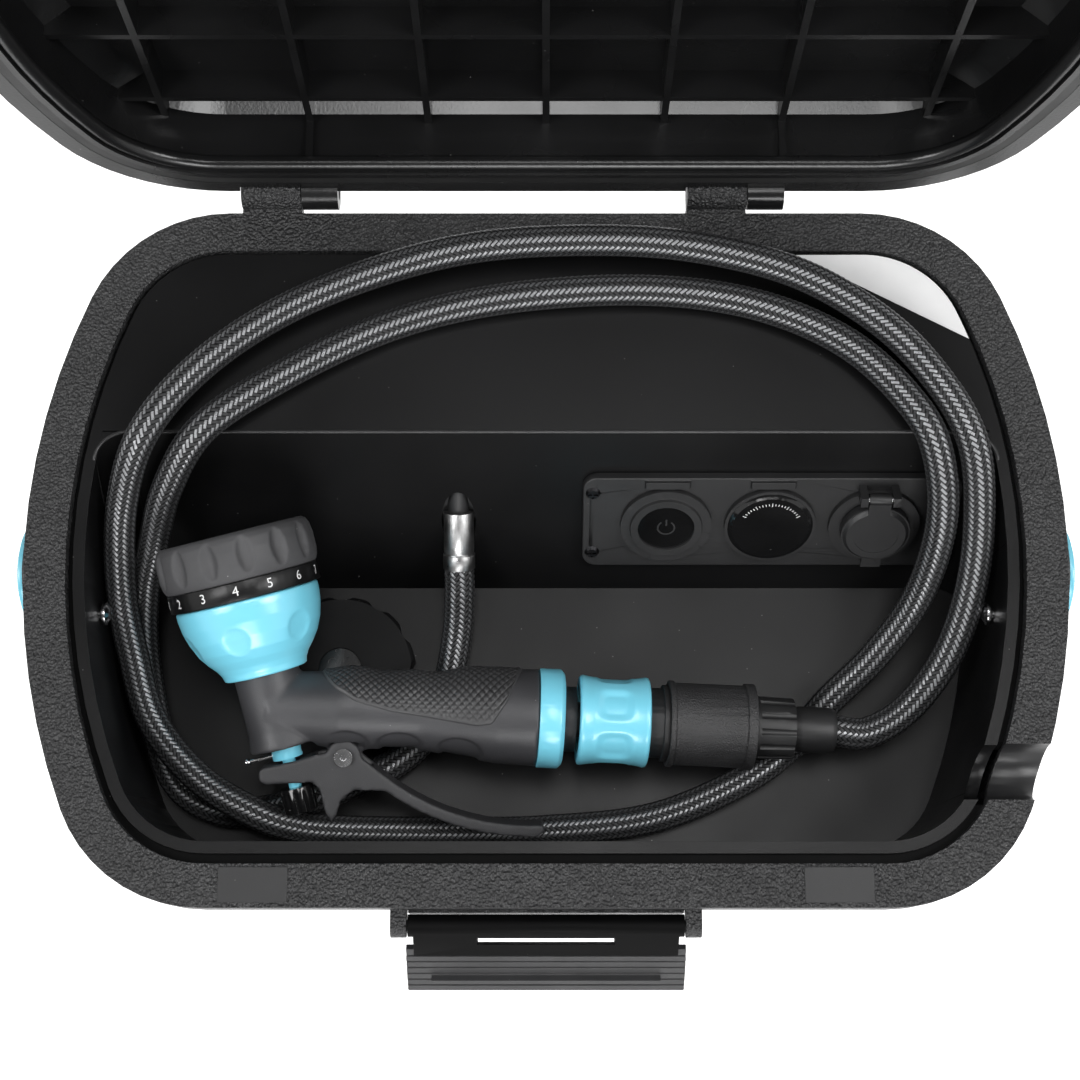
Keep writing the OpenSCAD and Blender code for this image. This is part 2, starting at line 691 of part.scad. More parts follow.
module head_bell() color(blue) {
  in_head() difference() {
    union() {
      translate([0, 0, 30]) cylinder(r1 = 16.8, r2 = 22, h = 8);
      translate([0, 0, 38]) cylinder(r1 = 22, r2 = 27, h = 11);
      translate([0, 0, 49]) cylinder(r1 = 27, r2 = 28.5, h = 12);
    }
    translate([0, 0, 29]) cylinder(r = nozzle_neck_r, h = 3);
    translate([0, 0, 31.9]) cylinder(r = 4, h = 10);
    translate([0, 0, 41]) cylinder(r1 = 20, r2 = 25, h = 21);
  }
}
module dial_ring() color(black) {
  in_head() difference() {
    translate([0, 0, 61.35]) cylinder(r = 30, h = 7.2);
    translate([0, 0, 60]) cylinder(r = 26, h = 10);
  }
}
module dial_bezel() color([0.1, 0.1, 0.1]) {
  in_head() difference() {
    union() {
      translate([0, 0, 68.55]) cylinder(r1 = bezel_r - 1.5, r2 = bezel_r, h = 3);
      translate([0, 0, 71.5]) cylinder(r = bezel_r, h = 11);
      translate([0, 0, 82.5]) cylinder(r1 = bezel_r, r2 = bezel_r - 2.6, h = 4.5);
    }
    translate([0, 0, 68]) cylinder(r = 26, h = 30);
    for (k = [0:13])
      rotate([0, 0, k * 360 / 14]) translate([bezel_r + 3.6, 0, 73]) cylinder(r = 5, h = 20);
  }
}
module spray_face() color([0.16, 0.16, 0.17]) {
  in_head() difference() {
    translate([0, 0, 62.5]) cylinder(r = 26, h = 21);
    translate([0, 0, 61]) cylinder(r = 23.5, h = 19);
    for (k = [0:5])
      rotate([0, 0, k * 60]) translate([15, 0, 82]) cylinder(r = 5.5, h = 3);
    for (k = [0:5])
      for (j = [0:2])
        rotate([0, 0, k * 60]) translate([15 + 3 * cos(j * 120), 3 * sin(j * 120), 79])
          cylinder(r = 0.8, h = 6);
    translate([0, 0, 79]) cylinder(r = 1.6, h = 6);
  }
}
module nozzle_collar() color(blue) {
  in_nozzle() difference() {
    union() {
      ax(108.5, 117, handle_r + 0.4, handle_r + 0.4);
      ax(117, 118.6, handle_r + 0.4, handle_r - 1.4);
    }
    ax(108, 119, 10, 10);
  }
}
module nozzle_nipple() color(black) {
  in_nozzle() difference() {
    union() {
      ax(88, 109, 6, 6);
      ax(108.5, 119, 10, 10);
      ax(118.6, 123.4, 13, 13);
      ax(123, 152, 7, 7);
    }
    ax(90, 160, 4, 4);
    ax(146, 148.4, 7.5, 7.5);
  }
  in_nozzle() difference() {
    ax(145, 149, 5.6, 5.6);
    ax(140, 160, 4, 4);
  }
}
module nipple_oring() color([0.02, 0.02, 0.02]) {
  in_nozzle() difference() {
    ax(146, 148.4, 7, 7);
    ax(145, 150, 5.6, 5.6);
  }
}
module connector_core() color(black) {
  in_nozzle() difference() {
    union() {
      ax(127, 158, 14, 14);
      ax(158, 160.4, 15.4, 15.4);
    }
    ax(126, 152.2, 7.1, 7.1);
    ax(150, 165, 4, 4);
  }
}
module connector_sleeve() color(blue) {
  in_nozzle() difference() {
    union() {
      ax(124.5, 128, sleeve_r, sleeve_r - 0.8);
      ax(128, 149, sleeve_r - 0.8, sleeve_r - 0.8);
      ax(149, 152.5, sleeve_r - 0.8, sleeve_r);
    }
    ax(124, 153, 14 + run_fit, 14 + run_fit);
    for (a = [0:60:359])
      rotate([a + 30, 0, 0]) translate([138.5, 0, sleeve_r + 9.6]) sphere(r = 11.5);
  }
}
module adapter_body() color(dark) {
  in_nozzle() difference() {
    union() {
      ax(160.4, 162.6, adapter_r + 0.8, adapter_r + 0.8);
      ax(162.6, 191, adapter_r, adapter_r);
      ax(191, 195, adapter_r + 0.8, adapter_r + 0.8);
    }
    ax(159, 182, 4, 4);
    ax(180, 196, 9, 9);
  }
}
module hose_nut() color(black) {
  in_nozzle() difference() {
    ax(195, 211, 12.7, 12.2);
    ax(194, 212, 5, 5);
    for (a = [0:30:359])
      rotate([a, 0, 0]) translate([197, 0, 13.2]) rotate([0, 90, 0]) cylinder(r = 1.5, h = 15);
  }
}
cuff_end = 228;
module hose_cuff() color(dark) {
  in_nozzle() union() {
    ax(184, 212, 5, 5);
    ax(211, 214, 8.6, 9.2);
    ax(214, 226, 9.2, 9.2);
    ax(226, cuff_end, 9.2, 8.4);
  }
}
cheek = 7;
lever_x = 103.5;
lever_y = 52.5;
module trigger() color(dark) {
  difference() {
    in_nozzle() translate([0, 0, -cheek]) {
      translate(pivot_u) cylinder(r = hub_u, h = 2 * cheek);
      linear_extrude(2 * cheek)
        polygon(concat(
          [[-0.8, -25.6], [0.7, -24], [13.9, -20.5], [21.5, -17.6], [26.5, -16.6], [38.4, -17.5]],
          arc(lever_x, lever_y, 94.8, 233.4, 275.3, 9, 0), [[113.5, -44]],
          arc(lever_x, lever_y, 99.4, 274, 237, 9, 0),
          [[37, -31], [32, -35.4], [30.5, -41.2], [28.8, -43.8], [26.3, -41], [23.5, -31.6], [20.4, -28.6],
          [2, -30.4], [-0.5, -28.9]]));
    }
    in_nozzle() translate([pivot_u[0], pivot_u[1], -12]) cylinder(r = trig_pin_r + run_fit, h = 24);
    in_nozzle() translate([pivot_u[0], pivot_u[1], -lug_t / 2 - 0.4]) cylinder(r = 12, h = lug_t + 0.8);
    in_head() translate([-4, -4, -25]) cube([8, 8, 22]);
  }
}
module trigger_screw() color(steel) {
  in_nozzle() translate([pivot_u[0], pivot_u[1], 0]) difference() {
    union() {
      translate([0, 0, -cheek - 0.3]) cylinder(r = trig_pin_r, h = 2 * cheek + 0.6);
      translate([0, 0, cheek + 0.3]) cylinder(r = trig_pin_r + 1.2, h = 1.5);
      translate([0, 0, -cheek - 1.8]) cylinder(r = trig_pin_r + 1.2, h = 1.5);
    }
    translate([0, 0, cheek + 0.8]) cylinder(r = 1.3, h = 3, $fn = 6);
  }
}
wire_s = -3;
module valve_stem() color(blue) {
  in_head() difference() {
    union() {
      translate([0, 0, -5]) cylinder(r = stem_r, h = 12.6);
      translate([0, 0, -27]) cylinder(r = 2.6, h = 22);
    }
    translate([-10, 0, wire_s]) rotate([0, 90, 0]) cylinder(r = 0.9, h = 20);
  }
}
module flow_knob() color(black) {
  in_head() difference() {
    translate([0, 0, -27]) cylinder(r = 6.7, h = 10);
    translate([0, 0, -28]) cylinder(r = 2.6, h = 13);
    for (a = [0:30:359])
      rotate([0, 0, a]) translate([7.1, 0, -28]) cylinder(r = 0.9, h = 9);
  }
}
module lock_wire() color(steel) {
  in_head() {
    translate([-16, 0, wire_s]) rotate([0, 90, 0]) cylinder(r = 0.9, h = 22);
    translate([-16, 0, wire_s]) sphere(r = 1.6);
  }
}

// braided hose, laid in two loops from the outlet to the nozzle
fo = [0, -cos(outlet_tilt), -sin(outlet_tilt)];
nz = [cos(nozzle_turn) * cos(nozzle_pitch), sin(nozzle_turn) * cos(nozzle_pitch), -sin(nozzle_pitch)];
cuff_p = nozzle_p + cuff_end * nz;
laid_shelf = 45.7;
laid_back = 92.8;
laid_len = 405;
laid_rim = 262;
function laid_y(y) = y < laid_shelf
  ? y - laid_shelf + shelf_y
  : shelf_y + (y - laid_shelf) * (half_b - shelf_y) / laid_back;
laid = [
  [-37, -22, 199], [-41, -44, 196], [-48, -62, 195.5], [-62, -76, 195.5], [-88, -88, 195.5],
  [-116, -96, 195.5], [-136, -95, 195.5], [-152, -84, 196.5], [-161, -60, 200], [-166, -31, 205],
  [-165, -8, 215], [-159, 8, 231], [-150, 26, 252], [-134, 45.5, 268], [-105, 66, 268.5],
  [-66, 86.5, 267], [-26, 98, 267], [21, 103, 267], [61, 101.5, 267], [93, 94, 267], [120, 80, 267.5],
  [140, 60, 268.5], [152, 39, 267], [156.5, 13, 251], [151, -12, 225], [136, -33, 207],
  [117, -51, 198], [101, -69, 195.2], [80, -84, 195.5], [43, -99, 195.5], [-2, -104, 195.5],
  [-36, -104.5, 195.5], [-62, -104.5, 196], [-84, -104.4, 200], [-100, -103.4, 204.5],
  [-116, -98.8, 209.2], [-140, -84.5, 210.5], [-159, -62, 214], [-167, -36, 220], [-171, -10, 231],
  [-168.5, 19, 249], [-157, 43, 269.5], [-136, 69, 272], [-105, 92, 272], [-66, 108.5, 274],
  [-26, 118, 276], [21, 120.5, 276.5], [61, 117.5, 276], [100, 107.5, 274], [132, 88.5, 271.5],
  [153, 65, 271], [166.5, 40, 267.5], [170.5, 13, 254], [168.5, -14, 240], [160.5, -38, 227],
  [146, -57, 218]
];
route = concat([outlet_p + ferrule_end * fo, outlet_p + (ferrule_end + 10) * fo],
  [for (p = laid) [p[0] * case_len / laid_len, laid_y(p[1]), p[2] + rim_h - laid_rim]],
  [cuff_p + 14 * nz, cuff_p]);
hose_n = len(route);
hose_sides = 10;
function unit(v) = v / norm(v);
function way(i) = i == 0 ? fo : i == hose_n - 1 ? -nz : unit(route[i + 1] - route[i - 1]);
function ring(i) = let (t = way(i), s = unit(cross(t, [0, 0, 1])), u = cross(s, t))
  [for (k = [0:hose_sides - 1], a = 360 * k / hose_sides) route[i] + hose_d / 2 * (cos(a) * s + sin(a) * u)];
hose_pts = [for (i = [0:hose_n - 1]) each ring(i)];
hose_faces = concat(
  [[for (k = [hose_sides - 1:-1:0]) k]],
  [for (i = [0:hose_n - 2]) for (k = [0:hose_sides - 1])
    let (a = i * hose_sides + k, b = i * hose_sides + (k + 1) % hose_sides)
    each [[a, b, b + hose_sides], [a, b + hose_sides, a + hose_sides]]],
  [[for (k = [0:hose_sides - 1]) (hose_n - 1) * hose_sides + k]]);
module hose() color(dark) polyhedron(hose_pts, hose_faces);
fine = [for (i = [0:hose_n - 2]) for (j = [0:5]) route[i] + (route[i + 1] - route[i]) * j / 6];
hose_len = norm([for (i = [0:hose_n - 2]) sqrt(norm(route[i + 1] - route[i]))]);
echo(hose_length = hose_len * hose_len);
echo(hose_least_gap = min([for (i = [0:len(fine) - 1]) for (j = [i + 24:1:len(fine) - 1])
  norm(fine[i] - fine[j])]) - hose_d);

outer_shell();
water_tank();
top_tray();
control_panel();
panel_screws();
switch_housing();
voltmeter_housing();
voltmeter_lens();
socket_housing();
cap_hinge_pin();
outlet_fitting();
pump_bracket();
pump_motor();
pump_head();
battery_pack();
pickup_tube();
delivery_tube();
tray_bolts();
hinge_pins();
latch_pin();
pivot_bolts();
lid_shell();
lid_seal();
latch_plate();
handle_bail();
handle_grip();
hub_caps();
power_button();
socket_cap();
fill_cap();
cap_gasket();
vent_insert();
nozzle_body();
grip_pad();
head_bell();
nozzle_collar();
nozzle_nipple();
nipple_oring();
connector_core();
connector_sleeve();
adapter_body();
dial_ring();
dial_bezel();
spray_face();
trigger();
trigger_screw();
valve_stem();
flow_knob();
lock_wire();
hose();
hose_ferrule();
hose_nut();
hose_cuff();
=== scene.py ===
import json
import math
import bmesh
import bpy
import numpy as np
from mathutils import Matrix, Vector


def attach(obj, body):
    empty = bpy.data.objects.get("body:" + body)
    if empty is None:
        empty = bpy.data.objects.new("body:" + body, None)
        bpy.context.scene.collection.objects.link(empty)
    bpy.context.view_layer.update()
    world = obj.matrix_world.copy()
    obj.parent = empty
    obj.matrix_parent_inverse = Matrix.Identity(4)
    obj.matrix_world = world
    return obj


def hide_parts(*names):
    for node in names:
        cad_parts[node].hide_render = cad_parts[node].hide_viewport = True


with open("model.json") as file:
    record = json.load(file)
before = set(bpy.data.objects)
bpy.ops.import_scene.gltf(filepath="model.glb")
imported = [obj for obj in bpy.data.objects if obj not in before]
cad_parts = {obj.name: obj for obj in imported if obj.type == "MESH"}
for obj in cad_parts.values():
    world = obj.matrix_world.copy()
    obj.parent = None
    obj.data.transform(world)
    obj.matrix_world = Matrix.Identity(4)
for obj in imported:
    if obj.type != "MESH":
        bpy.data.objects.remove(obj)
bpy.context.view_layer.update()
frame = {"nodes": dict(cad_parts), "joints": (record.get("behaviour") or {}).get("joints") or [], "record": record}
nodes = frame["nodes"]
joints = {j["name"]: j for j in frame["joints"]}
mounts = {m["name"]: m for m in frame["record"]["mounts"]}
scene = bpy.context.scene
scene.view_settings.view_transform = "Standard"
mm = 0.001
print("frame loaded:", len(nodes), "nodes")


# local frames of the part, taken from its joints and mounts
def frameMatrix(origin, x, y, z):
    turn = Matrix((x, y, z)).transposed().to_4x4()
    return Matrix.Translation(origin) @ turn


def axisOf(joint):
    return Vector(joints[joint]["axis"]).normalized()


def pointOf(joint):
    return Vector(joints[joint]["pos_m"])


nozzlePivot = {"along": 32.3 * mm, "across": -18.2 * mm}  # trigger screw in the nozzle's own frame
nozzleX = axisOf("sleeve_slide")
nozzleZ = axisOf("trigger_squeeze")
nozzleY = nozzleZ.cross(nozzleX)
nozzleOrigin = pointOf("trigger_squeeze") - nozzleX * nozzlePivot["along"] - nozzleY * nozzlePivot["across"]
nozzleFrame = frameMatrix(nozzleOrigin, nozzleX, nozzleY, nozzleZ)
headZ = -axisOf("stem_slide")
headY = -nozzleZ
headX = headY.cross(headZ)
dialReach = 70 * mm  # from the root of the spray head to its dial
headFrame = frameMatrix(pointOf("dial_turn") - headZ * dialReach, headX, headY, headZ)
panelZ = -axisOf("button_press")
panelX = Vector((1, 0, 0))
panelY = panelZ.cross(panelX)
panelPitch = 42.5 * mm
socketDepth = 17.25 * mm  # middle of the socket bore behind the wall
socketPoint = Vector(mounts["socket_12v"]["pos_m"]) + panelZ * socketDepth


def panelFrame(place):
    return frameMatrix(socketPoint + panelX * (place - 1) * panelPitch, panelX, panelY, panelZ)


# camera and stage
camera = {"place": (0, -0.1747, 0.970), "tilt": 14, "lens": 62.67, "sensor": 36, "shift": -0.0056}
cameraData = bpy.data.cameras.new("camera")
cameraData.lens = camera["lens"]
cameraData.sensor_width = camera["sensor"]
cameraData.shift_x = camera["shift"]
cameraObject = bpy.data.objects.new("camera", cameraData)
cameraObject.location = camera["place"]
cameraObject.rotation_euler = (math.radians(camera["tilt"]), 0, 0)
scene.collection.objects.link(cameraObject)
scene.camera = cameraObject

studio = {
    "floorSize": 30, "floorDrop": 0.0004, "floorGlow": 0.8,
    "floorTones": ((0.93, 0.93, 0.93), (0.95, 0.95, 0.95)),
    "wallRadius": 14.5, "wallFoot": -0.01, "wallTop": 10, "wallSides": 48, "skyStrength": 0.08,
    "aim": (0, 0, 0.22),
    "lamps": {
        "leftBox": {"place": (-0.85, -0.35, 1.35), "size": 0.55, "power": 9},
        "rightBox": {"place": (0.90, -0.15, 1.35), "size": 0.55, "power": 9.5},
        "frontBox": {"place": (0.10, -1.50, 1.05), "size": 0.7, "power": 13},
        "topBox": {"place": (0.12, 0.12, 1.9), "size": 0.6, "power": 7},
        "backBox": {"place": (0.0, 1.4, 1.7), "size": 0.8, "power": 5},
    },
}


def aimLamp(name, look):
    lamp = bpy.data.lights.new(name, "AREA")
    lamp.shape = "SQUARE"
    lamp.size = look["size"]
    lamp.energy = look["power"]
    holder = bpy.data.objects.new(name, lamp)
    holder.location = look["place"]
    aim = Vector(studio["aim"]) - Vector(look["place"])
    holder.rotation_euler = aim.to_track_quat("-Z", "Y").to_euler()
    scene.collection.objects.link(holder)


for lampName, lampLook in studio["lamps"].items():
    aimLamp(lampName, lampLook)
world = bpy.data.worlds.new("studioSky")
world.use_nodes = True
world.node_tree.nodes["Background"].inputs["Color"].default_value = (1, 1, 1, 1)
world.node_tree.nodes["Background"].inputs["Strength"].default_value = studio["skyStrength"]
scene.world = world
print("camera and lamps ready")


# node helpers for the finishes
class Finish:
    def __init__(self, name):
        self.material = bpy.data.materials.new(name)
        self.material.use_nodes = True
        self.tree = self.material.node_tree
        self.shader = self.tree.nodes["Principled BSDF"]
        self.place = self.tree.nodes.new("ShaderNodeTexCoord").outputs["Object"]

    def node(self, kind, settings=None, **sockets):
        made = self.tree.nodes.new("ShaderNode" + kind)
        for key, value in (settings or {}).items():
            setattr(made, key, value)
        for key, value in sockets.items():
            self.feed(made.inputs[key.replace("_", " ")], value)
        return made

    def feed(self, socket, value):
        if isinstance(value, bpy.types.NodeSocket):
            self.tree.links.new(value, socket)
        else:
            socket.default_value = value

    def noise(self, scale, detail):
        return self.node("TexNoise", Vector=self.place, Scale=scale, Detail=detail).outputs["Fac"]

    def cells(self, scale, feature="F1"):
        made = self.node("TexVoronoi", {"feature": feature}, Vector=self.place, Scale=scale)
        return made.outputs["Distance"]

    def ramp(self, value, low, high, lowColor, highColor):
        made = self.node("ValToRGB", Fac=value)
        made.color_ramp.elements[0].position = low
        made.color_ramp.elements[1].position = high
        made.color_ramp.elements[0].color = (*lowColor, 1)
        made.color_ramp.elements[1].color = (*highColor, 1)
        return made.outputs["Color"]

    def span(self, value, low, high, toLow, toHigh):
        made = self.node("MapRange", Value=value)
        for key, number in (("From Min", low), ("From Max", high), ("To Min", toLow), ("To Max", toHigh)):
            made.inputs[key].default_value = number
        return made.outputs["Result"]

    def calc(self, a, b, operation="ADD"):
        made = self.node("Math", {"operation": operation})
        self.feed(made.inputs[0], a)
        self.feed(made.inputs[1], b)
        return made.outputs["Value"]

    def layer(self, fac, a, b):
        made = self.node("Mix", {"data_type": "RGBA"})
        self.feed(made.inputs[0], fac)
        self.feed(made.inputs[6], a)
        self.feed(made.inputs[7], b)
        return made.outputs[2]

    def relief(self, height, depth, strength=1.0, under=None):
        made = self.node("Bump", Height=height, Distance=depth, Strength=strength)
        if under is not None:
            self.feed(made.inputs["Normal"], under)
        return made.outputs["Normal"]

    def paint(self, **sockets):
        for key, value in sockets.items():
            self.feed(self.shader.inputs[key.replace("_", " ")], value)
        return self.material


dustLook = {"cells": 130, "near": 0.02, "far": 0.035, "tone": (0.32, 0.32, 0.31, 1)}
grooveShadeTone = (0.002, 0.002, 0.002, 1)
# tone of the painted highlight on the pebble cells
speckleTone = (0.09, 0.09, 0.092, 1)


def mouldedFinish(name, look):
    f = Finish(name)
    color = f.ramp(f.noise(look["mottle"], 5), 0.3, 0.7, look["dark"], look["light"])
    if "dust" in look:
        speck = f.span(f.cells(dustLook["cells"]), dustLook["near"], dustLook["far"], look["dust"], 0)
        color = f.layer(speck, color, dustLook["tone"])
    # painted shade: the paint is darkened along the grip pad's grooves, as set by the groove attribute
    if "groove" in look:
        depth = f.node("Attribute", {"attribute_name": "groove"}).outputs["Fac"]
        color = f.layer(f.calc(depth, look["groove"], "MULTIPLY"), color, grooveShadeTone)
    rough = f.span(f.noise(look["smear"], 4), 0.3, 0.7, *look["rough"])
    grain = f.relief(f.noise(look["grain"], 2), look["grainDepth"])
    if "pebble" in look:
        pebble = f.cells(look["pebble"], "SMOOTH_F1")
        grain = f.relief(pebble, look["pebbleDepth"], 0.9, grain)
        # painted highlight: each pebble cell is painted lighter toward its middle
        if "speckle" in look:
            color = f.layer(f.span(pebble, 0.15, 0.5, look["speckle"], 0), color, speckleTone)
    f.shader.inputs["Specular IOR Level"].default_value = look.get("shine", 0.5)
    return f.paint(Base_Color=color, Roughness=rough, Normal=grain)


def metalFinish(name, look):
    f = Finish(name)
    tint = f.ramp(f.noise(look["mottle"], 5), 0.3, 0.7, look["dark"], look["light"])
    rough = f.span(f.noise(look["smear"], 6), 0.3, 0.75, *look["rough"])
    grain = f.relief(f.noise(look["grain"], 2), look["grainDepth"])
    f.shader.inputs["Metallic"].default_value = 1
    return f.paint(Base_Color=tint, Roughness=rough, Normal=grain)


def braidFinish(name, look):
    f = Finish(name)
    phase = f.node("SeparateXYZ", Vector=f.node("UVMap", {"uv_map": "weave"}).outputs["UV"])
    first, second = phase.outputs["X"], phase.outputs["Y"]

    def swing(own, other, shift):
        turn = f.calc(f.calc(f.calc(own, 0.0, "FLOOR"), other), shift, "SUBTRACT")
        return f.calc(f.calc(turn, math.pi / 2, "MULTIPLY"), 0.0, "COSINE")

    def crown(own):
        off = f.calc(f.calc(f.calc(own, 0.0, "FRACT"), 2.0, "MULTIPLY"), 1.0, "SUBTRACT")
        return f.calc(1.0, f.calc(off, off, "MULTIPLY"), "SUBTRACT")

    lead = f.calc(swing(first, second, 1.0), swing(second, first, 3.0), "SUBTRACT")
    over = f.span(lead, -0.15, 0.15, 0, 1)
    under = f.calc(1.0, over, "SUBTRACT")
    # painted highlight: each yarn is painted lighter and made more metallic toward its crown, most on the yarn
    # passing over; the lighter over-yarn is partly the braid's own tone
    overToneAndGlint = f.calc(over, f.span(crown(first), 0.25, 0.85, 0, 1), "MULTIPLY")
    underToneAndGlint = f.calc(under, f.span(crown(second), 0.25, 0.85, 0, look["underToneAndGlint"]), "MULTIPLY")
    shade = f.calc(overToneAndGlint, underToneAndGlint)
    color = f.ramp(shade, 0.0, 1.0, look["dark"], look["light"])
    rough = f.span(f.noise(look["smear"], 3), 0.3, 0.7, *look["rough"])
    shine = f.span(shade, 0.0, 1.0, *look["shine"])
    grain = f.relief(f.noise(look["grain"], 2), look["grainDepth"])
    gleam = f.calc(shade, look["gleam"], "MULTIPLY")
    return f.paint(Base_Color=color, Roughness=rough, Specular_IOR_Level=shine, Metallic=gleam, Normal=grain)


finishLooks = {
    "caseGrain": {"dark": (0.019, 0.019, 0.0198), "light": (0.028, 0.028, 0.0291), "mottle": 60,
                  "smear": 25, "rough": (0.36, 0.48), "grain": 1900, "grainDepth": 0.00016, "pebble": 1050,
                  "pebbleDepth": 0.0018, "speckle": 0.4, "dust": 0.4, "shine": 0.46},
    "traySatin": {"dark": (0.0048, 0.0048, 0.005), "light": (0.0072, 0.0072, 0.0075), "mottle": 14,
                  "smear": 18, "rough": (0.28, 0.38), "grain": 2600, "grainDepth": 0.00004, "dust": 0.55,
                  "shine": 0.20},
    "trayLip": {"dark": (0.016, 0.016, 0.0166), "light": (0.022, 0.022, 0.0229), "mottle": 30, "smear": 30,
                "rough": (0.30, 0.40), "grain": 2600, "grainDepth": 0.00003, "dust": 0.4},
    "lidGloss": {"dark": (0.006, 0.006, 0.0062), "light": (0.01, 0.01, 0.0104), "mottle": 22, "smear": 12,
                 "rough": (0.20, 0.36), "grain": 900, "grainDepth": 0.00005, "dust": 0.6},
    "latchGrain": {"dark": (0.03, 0.03, 0.0312), "light": (0.042, 0.042, 0.0437), "mottle": 80, "smear": 30,
                   "rough": (0.42, 0.55), "grain": 2200, "grainDepth": 0.00010, "dust": 0.3},
    # painted shade: near-black paint used on the latch neck and on the ledge inside the rim
    "paintedShadeBlack": {"dark": (0.0008, 0.0008, 0.0009), "light": (0.0015, 0.0015, 0.0016), "mottle": 60,
                  "smear": 30, "rough": (0.50, 0.62), "grain": 2200, "grainDepth": 0.00004, "shine": 0.08,
                  "dust": 0.3},
    "ringSatin": {"dark": (0.004, 0.004, 0.0042), "light": (0.006, 0.006, 0.0063), "mottle": 40,
                  "smear": 30, "rough": (0.28, 0.36), "grain": 2400, "grainDepth": 0.00003, "shine": 0.35},
    "capBlack": {"dark": (0.004, 0.004, 0.0042), "light": (0.007, 0.007, 0.0073), "mottle": 40, "smear": 30,
                 "rough": (0.45, 0.55), "grain": 2600, "grainDepth": 0.00006, "shine": 0.15, "dust": 0.5},
    "padSatin": {"dark": (0.022, 0.022, 0.0228), "light": (0.027, 0.027, 0.028), "mottle": 60, "smear": 30,
                 "rough": (0.42, 0.52), "grain": 2400, "grainDepth": 0.00006, "shine": 0.4, "dust": 0.3},
    "panelMatt": {"dark": (0.013, 0.013, 0.0135), "light": (0.019, 0.019, 0.0198), "mottle": 60,
                  "smear": 40, "rough": (0.42, 0.55), "grain": 3000, "grainDepth": 0.00005, "dust": 0.4},
    "gaugeGloss": {"dark": (0.005, 0.005, 0.0052), "light": (0.008, 0.008, 0.0083), "mottle": 40,
                   "smear": 30, "rough": (0.08, 0.16), "grain": 1200, "grainDepth": 0.00001, "dust": 0.4},
    "blueGloss": {"dark": (0.210, 0.695, 0.880), "light": (0.222, 0.710, 0.892), "mottle": 30, "smear": 50,
                  "rough": (0.23, 0.27), "grain": 1800, "grainDepth": 0.00002, "shine": 0.9},
    "nozzleSatin": {"dark": (0.04, 0.04, 0.0432), "light": (0.056, 0.056, 0.0605), "mottle": 35,
                    "smear": 45, "rough": (0.36, 0.50), "grain": 2400, "grainDepth": 0.00006, "dust": 0.5},
    "triggerGrain": {"dark": (0.04, 0.04, 0.0424), "light": (0.054, 0.054, 0.0572), "mottle": 50,
                     "smear": 40, "rough": (0.46, 0.58), "grain": 3000, "grainDepth": 0.00010, "dust": 0.4},
    "softRubber": {"dark": (0.05, 0.05, 0.0525), "light": (0.07, 0.07, 0.0735), "mottle": 40, "smear": 60,
                   "rough": (0.55, 0.70), "grain": 2600, "grainDepth": 0.00006, "dust": 0.7},
    # the groove value of gripRubber sets how much painted shade falls in the grip grooves
    "gripRubber": {"dark": (0.044, 0.044, 0.046), "light": (0.060, 0.060, 0.062), "mottle": 40, "smear": 60,
                   "rough": (0.36, 0.46), "grain": 2600, "grainDepth": 0.00004, "dust": 0.4, "groove": 0.9},
    "leatherBlack": {"dark": (0.024, 0.024, 0.025), "light": (0.035, 0.035, 0.0364), "mottle": 60,
                     "smear": 60, "rough": (0.42, 0.55), "grain": 2400, "grainDepth": 0.00010,
                     "pebble": 1700, "pebbleDepth": 0.00035, "dust": 0.3},
    "sealRubber": {"dark": (0.012, 0.012, 0.012), "light": (0.018, 0.018, 0.018), "mottle": 40, "smear": 30,
                   "rough": (0.45, 0.60), "grain": 2000, "grainDepth": 0.00004},
    "tankGrey": {"dark": (0.10, 0.105, 0.11), "light": (0.14, 0.145, 0.15), "mottle": 20, "smear": 20,
                 "rough": (0.45, 0.60), "grain": 1500, "grainDepth": 0.00006},
    "motorPaint": {"dark": (0.035, 0.035, 0.040), "light": (0.050, 0.050, 0.055), "mottle": 30, "smear": 30,
                   "rough": (0.30, 0.42), "grain": 1500, "grainDepth": 0.00006},
    "batteryWrap": {"dark": (0.020, 0.035, 0.075), "light": (0.028, 0.045, 0.095), "mottle": 30,
                    "smear": 30, "rough": (0.30, 0.42), "grain": 1200, "grainDepth": 0.00005},
    "whiteMark": {"dark": (0.76, 0.76, 0.76), "light": (0.82, 0.82, 0.82), "mottle": 60, "smear": 40,
                  "rough": (0.36, 0.46), "grain": 1500, "grainDepth": 0.00001},
}
metalLooks = {
    "platedSteel": {"dark": (0.62, 0.62, 0.63), "light": (0.78, 0.78, 0.79), "mottle": 90, "smear": 70,
                    "rough": (0.14, 0.30), "grain": 1400, "grainDepth": 0.00004},
    "brushedSteel": {"dark": (0.34, 0.34, 0.34), "light": (0.52, 0.52, 0.52), "mottle": 260, "smear": 180,
                     "rough": (0.26, 0.42), "grain": 2600, "grainDepth": 0.00008},
    "blackScrew": {"dark": (0.030, 0.030, 0.032), "light": (0.050, 0.050, 0.053), "mottle": 90, "smear": 70,
                   "rough": (0.30, 0.45), "grain": 1400, "grainDepth": 0.00004},
}
braidLook = {"dark": (0.0015, 0.0015, 0.0016), "light": (0.270, 0.274, 0.283), "underToneAndGlint": 0.14, "smear": 900,
             "rough": (0.26, 0.36), "shine": (0.10, 0.8), "gleam": 0.85, "grain": 5200, "grainDepth": 0.00008}
finishes = {name: mouldedFinish(name, look) for name, look in finishLooks.items()}
finishes.update({name: metalFinish(name, look) for name, look in metalLooks.items()})
finishes["braidBlack"] = braidFinish("braidBlack", braidLook)
print("finishes made:", len(finishes))


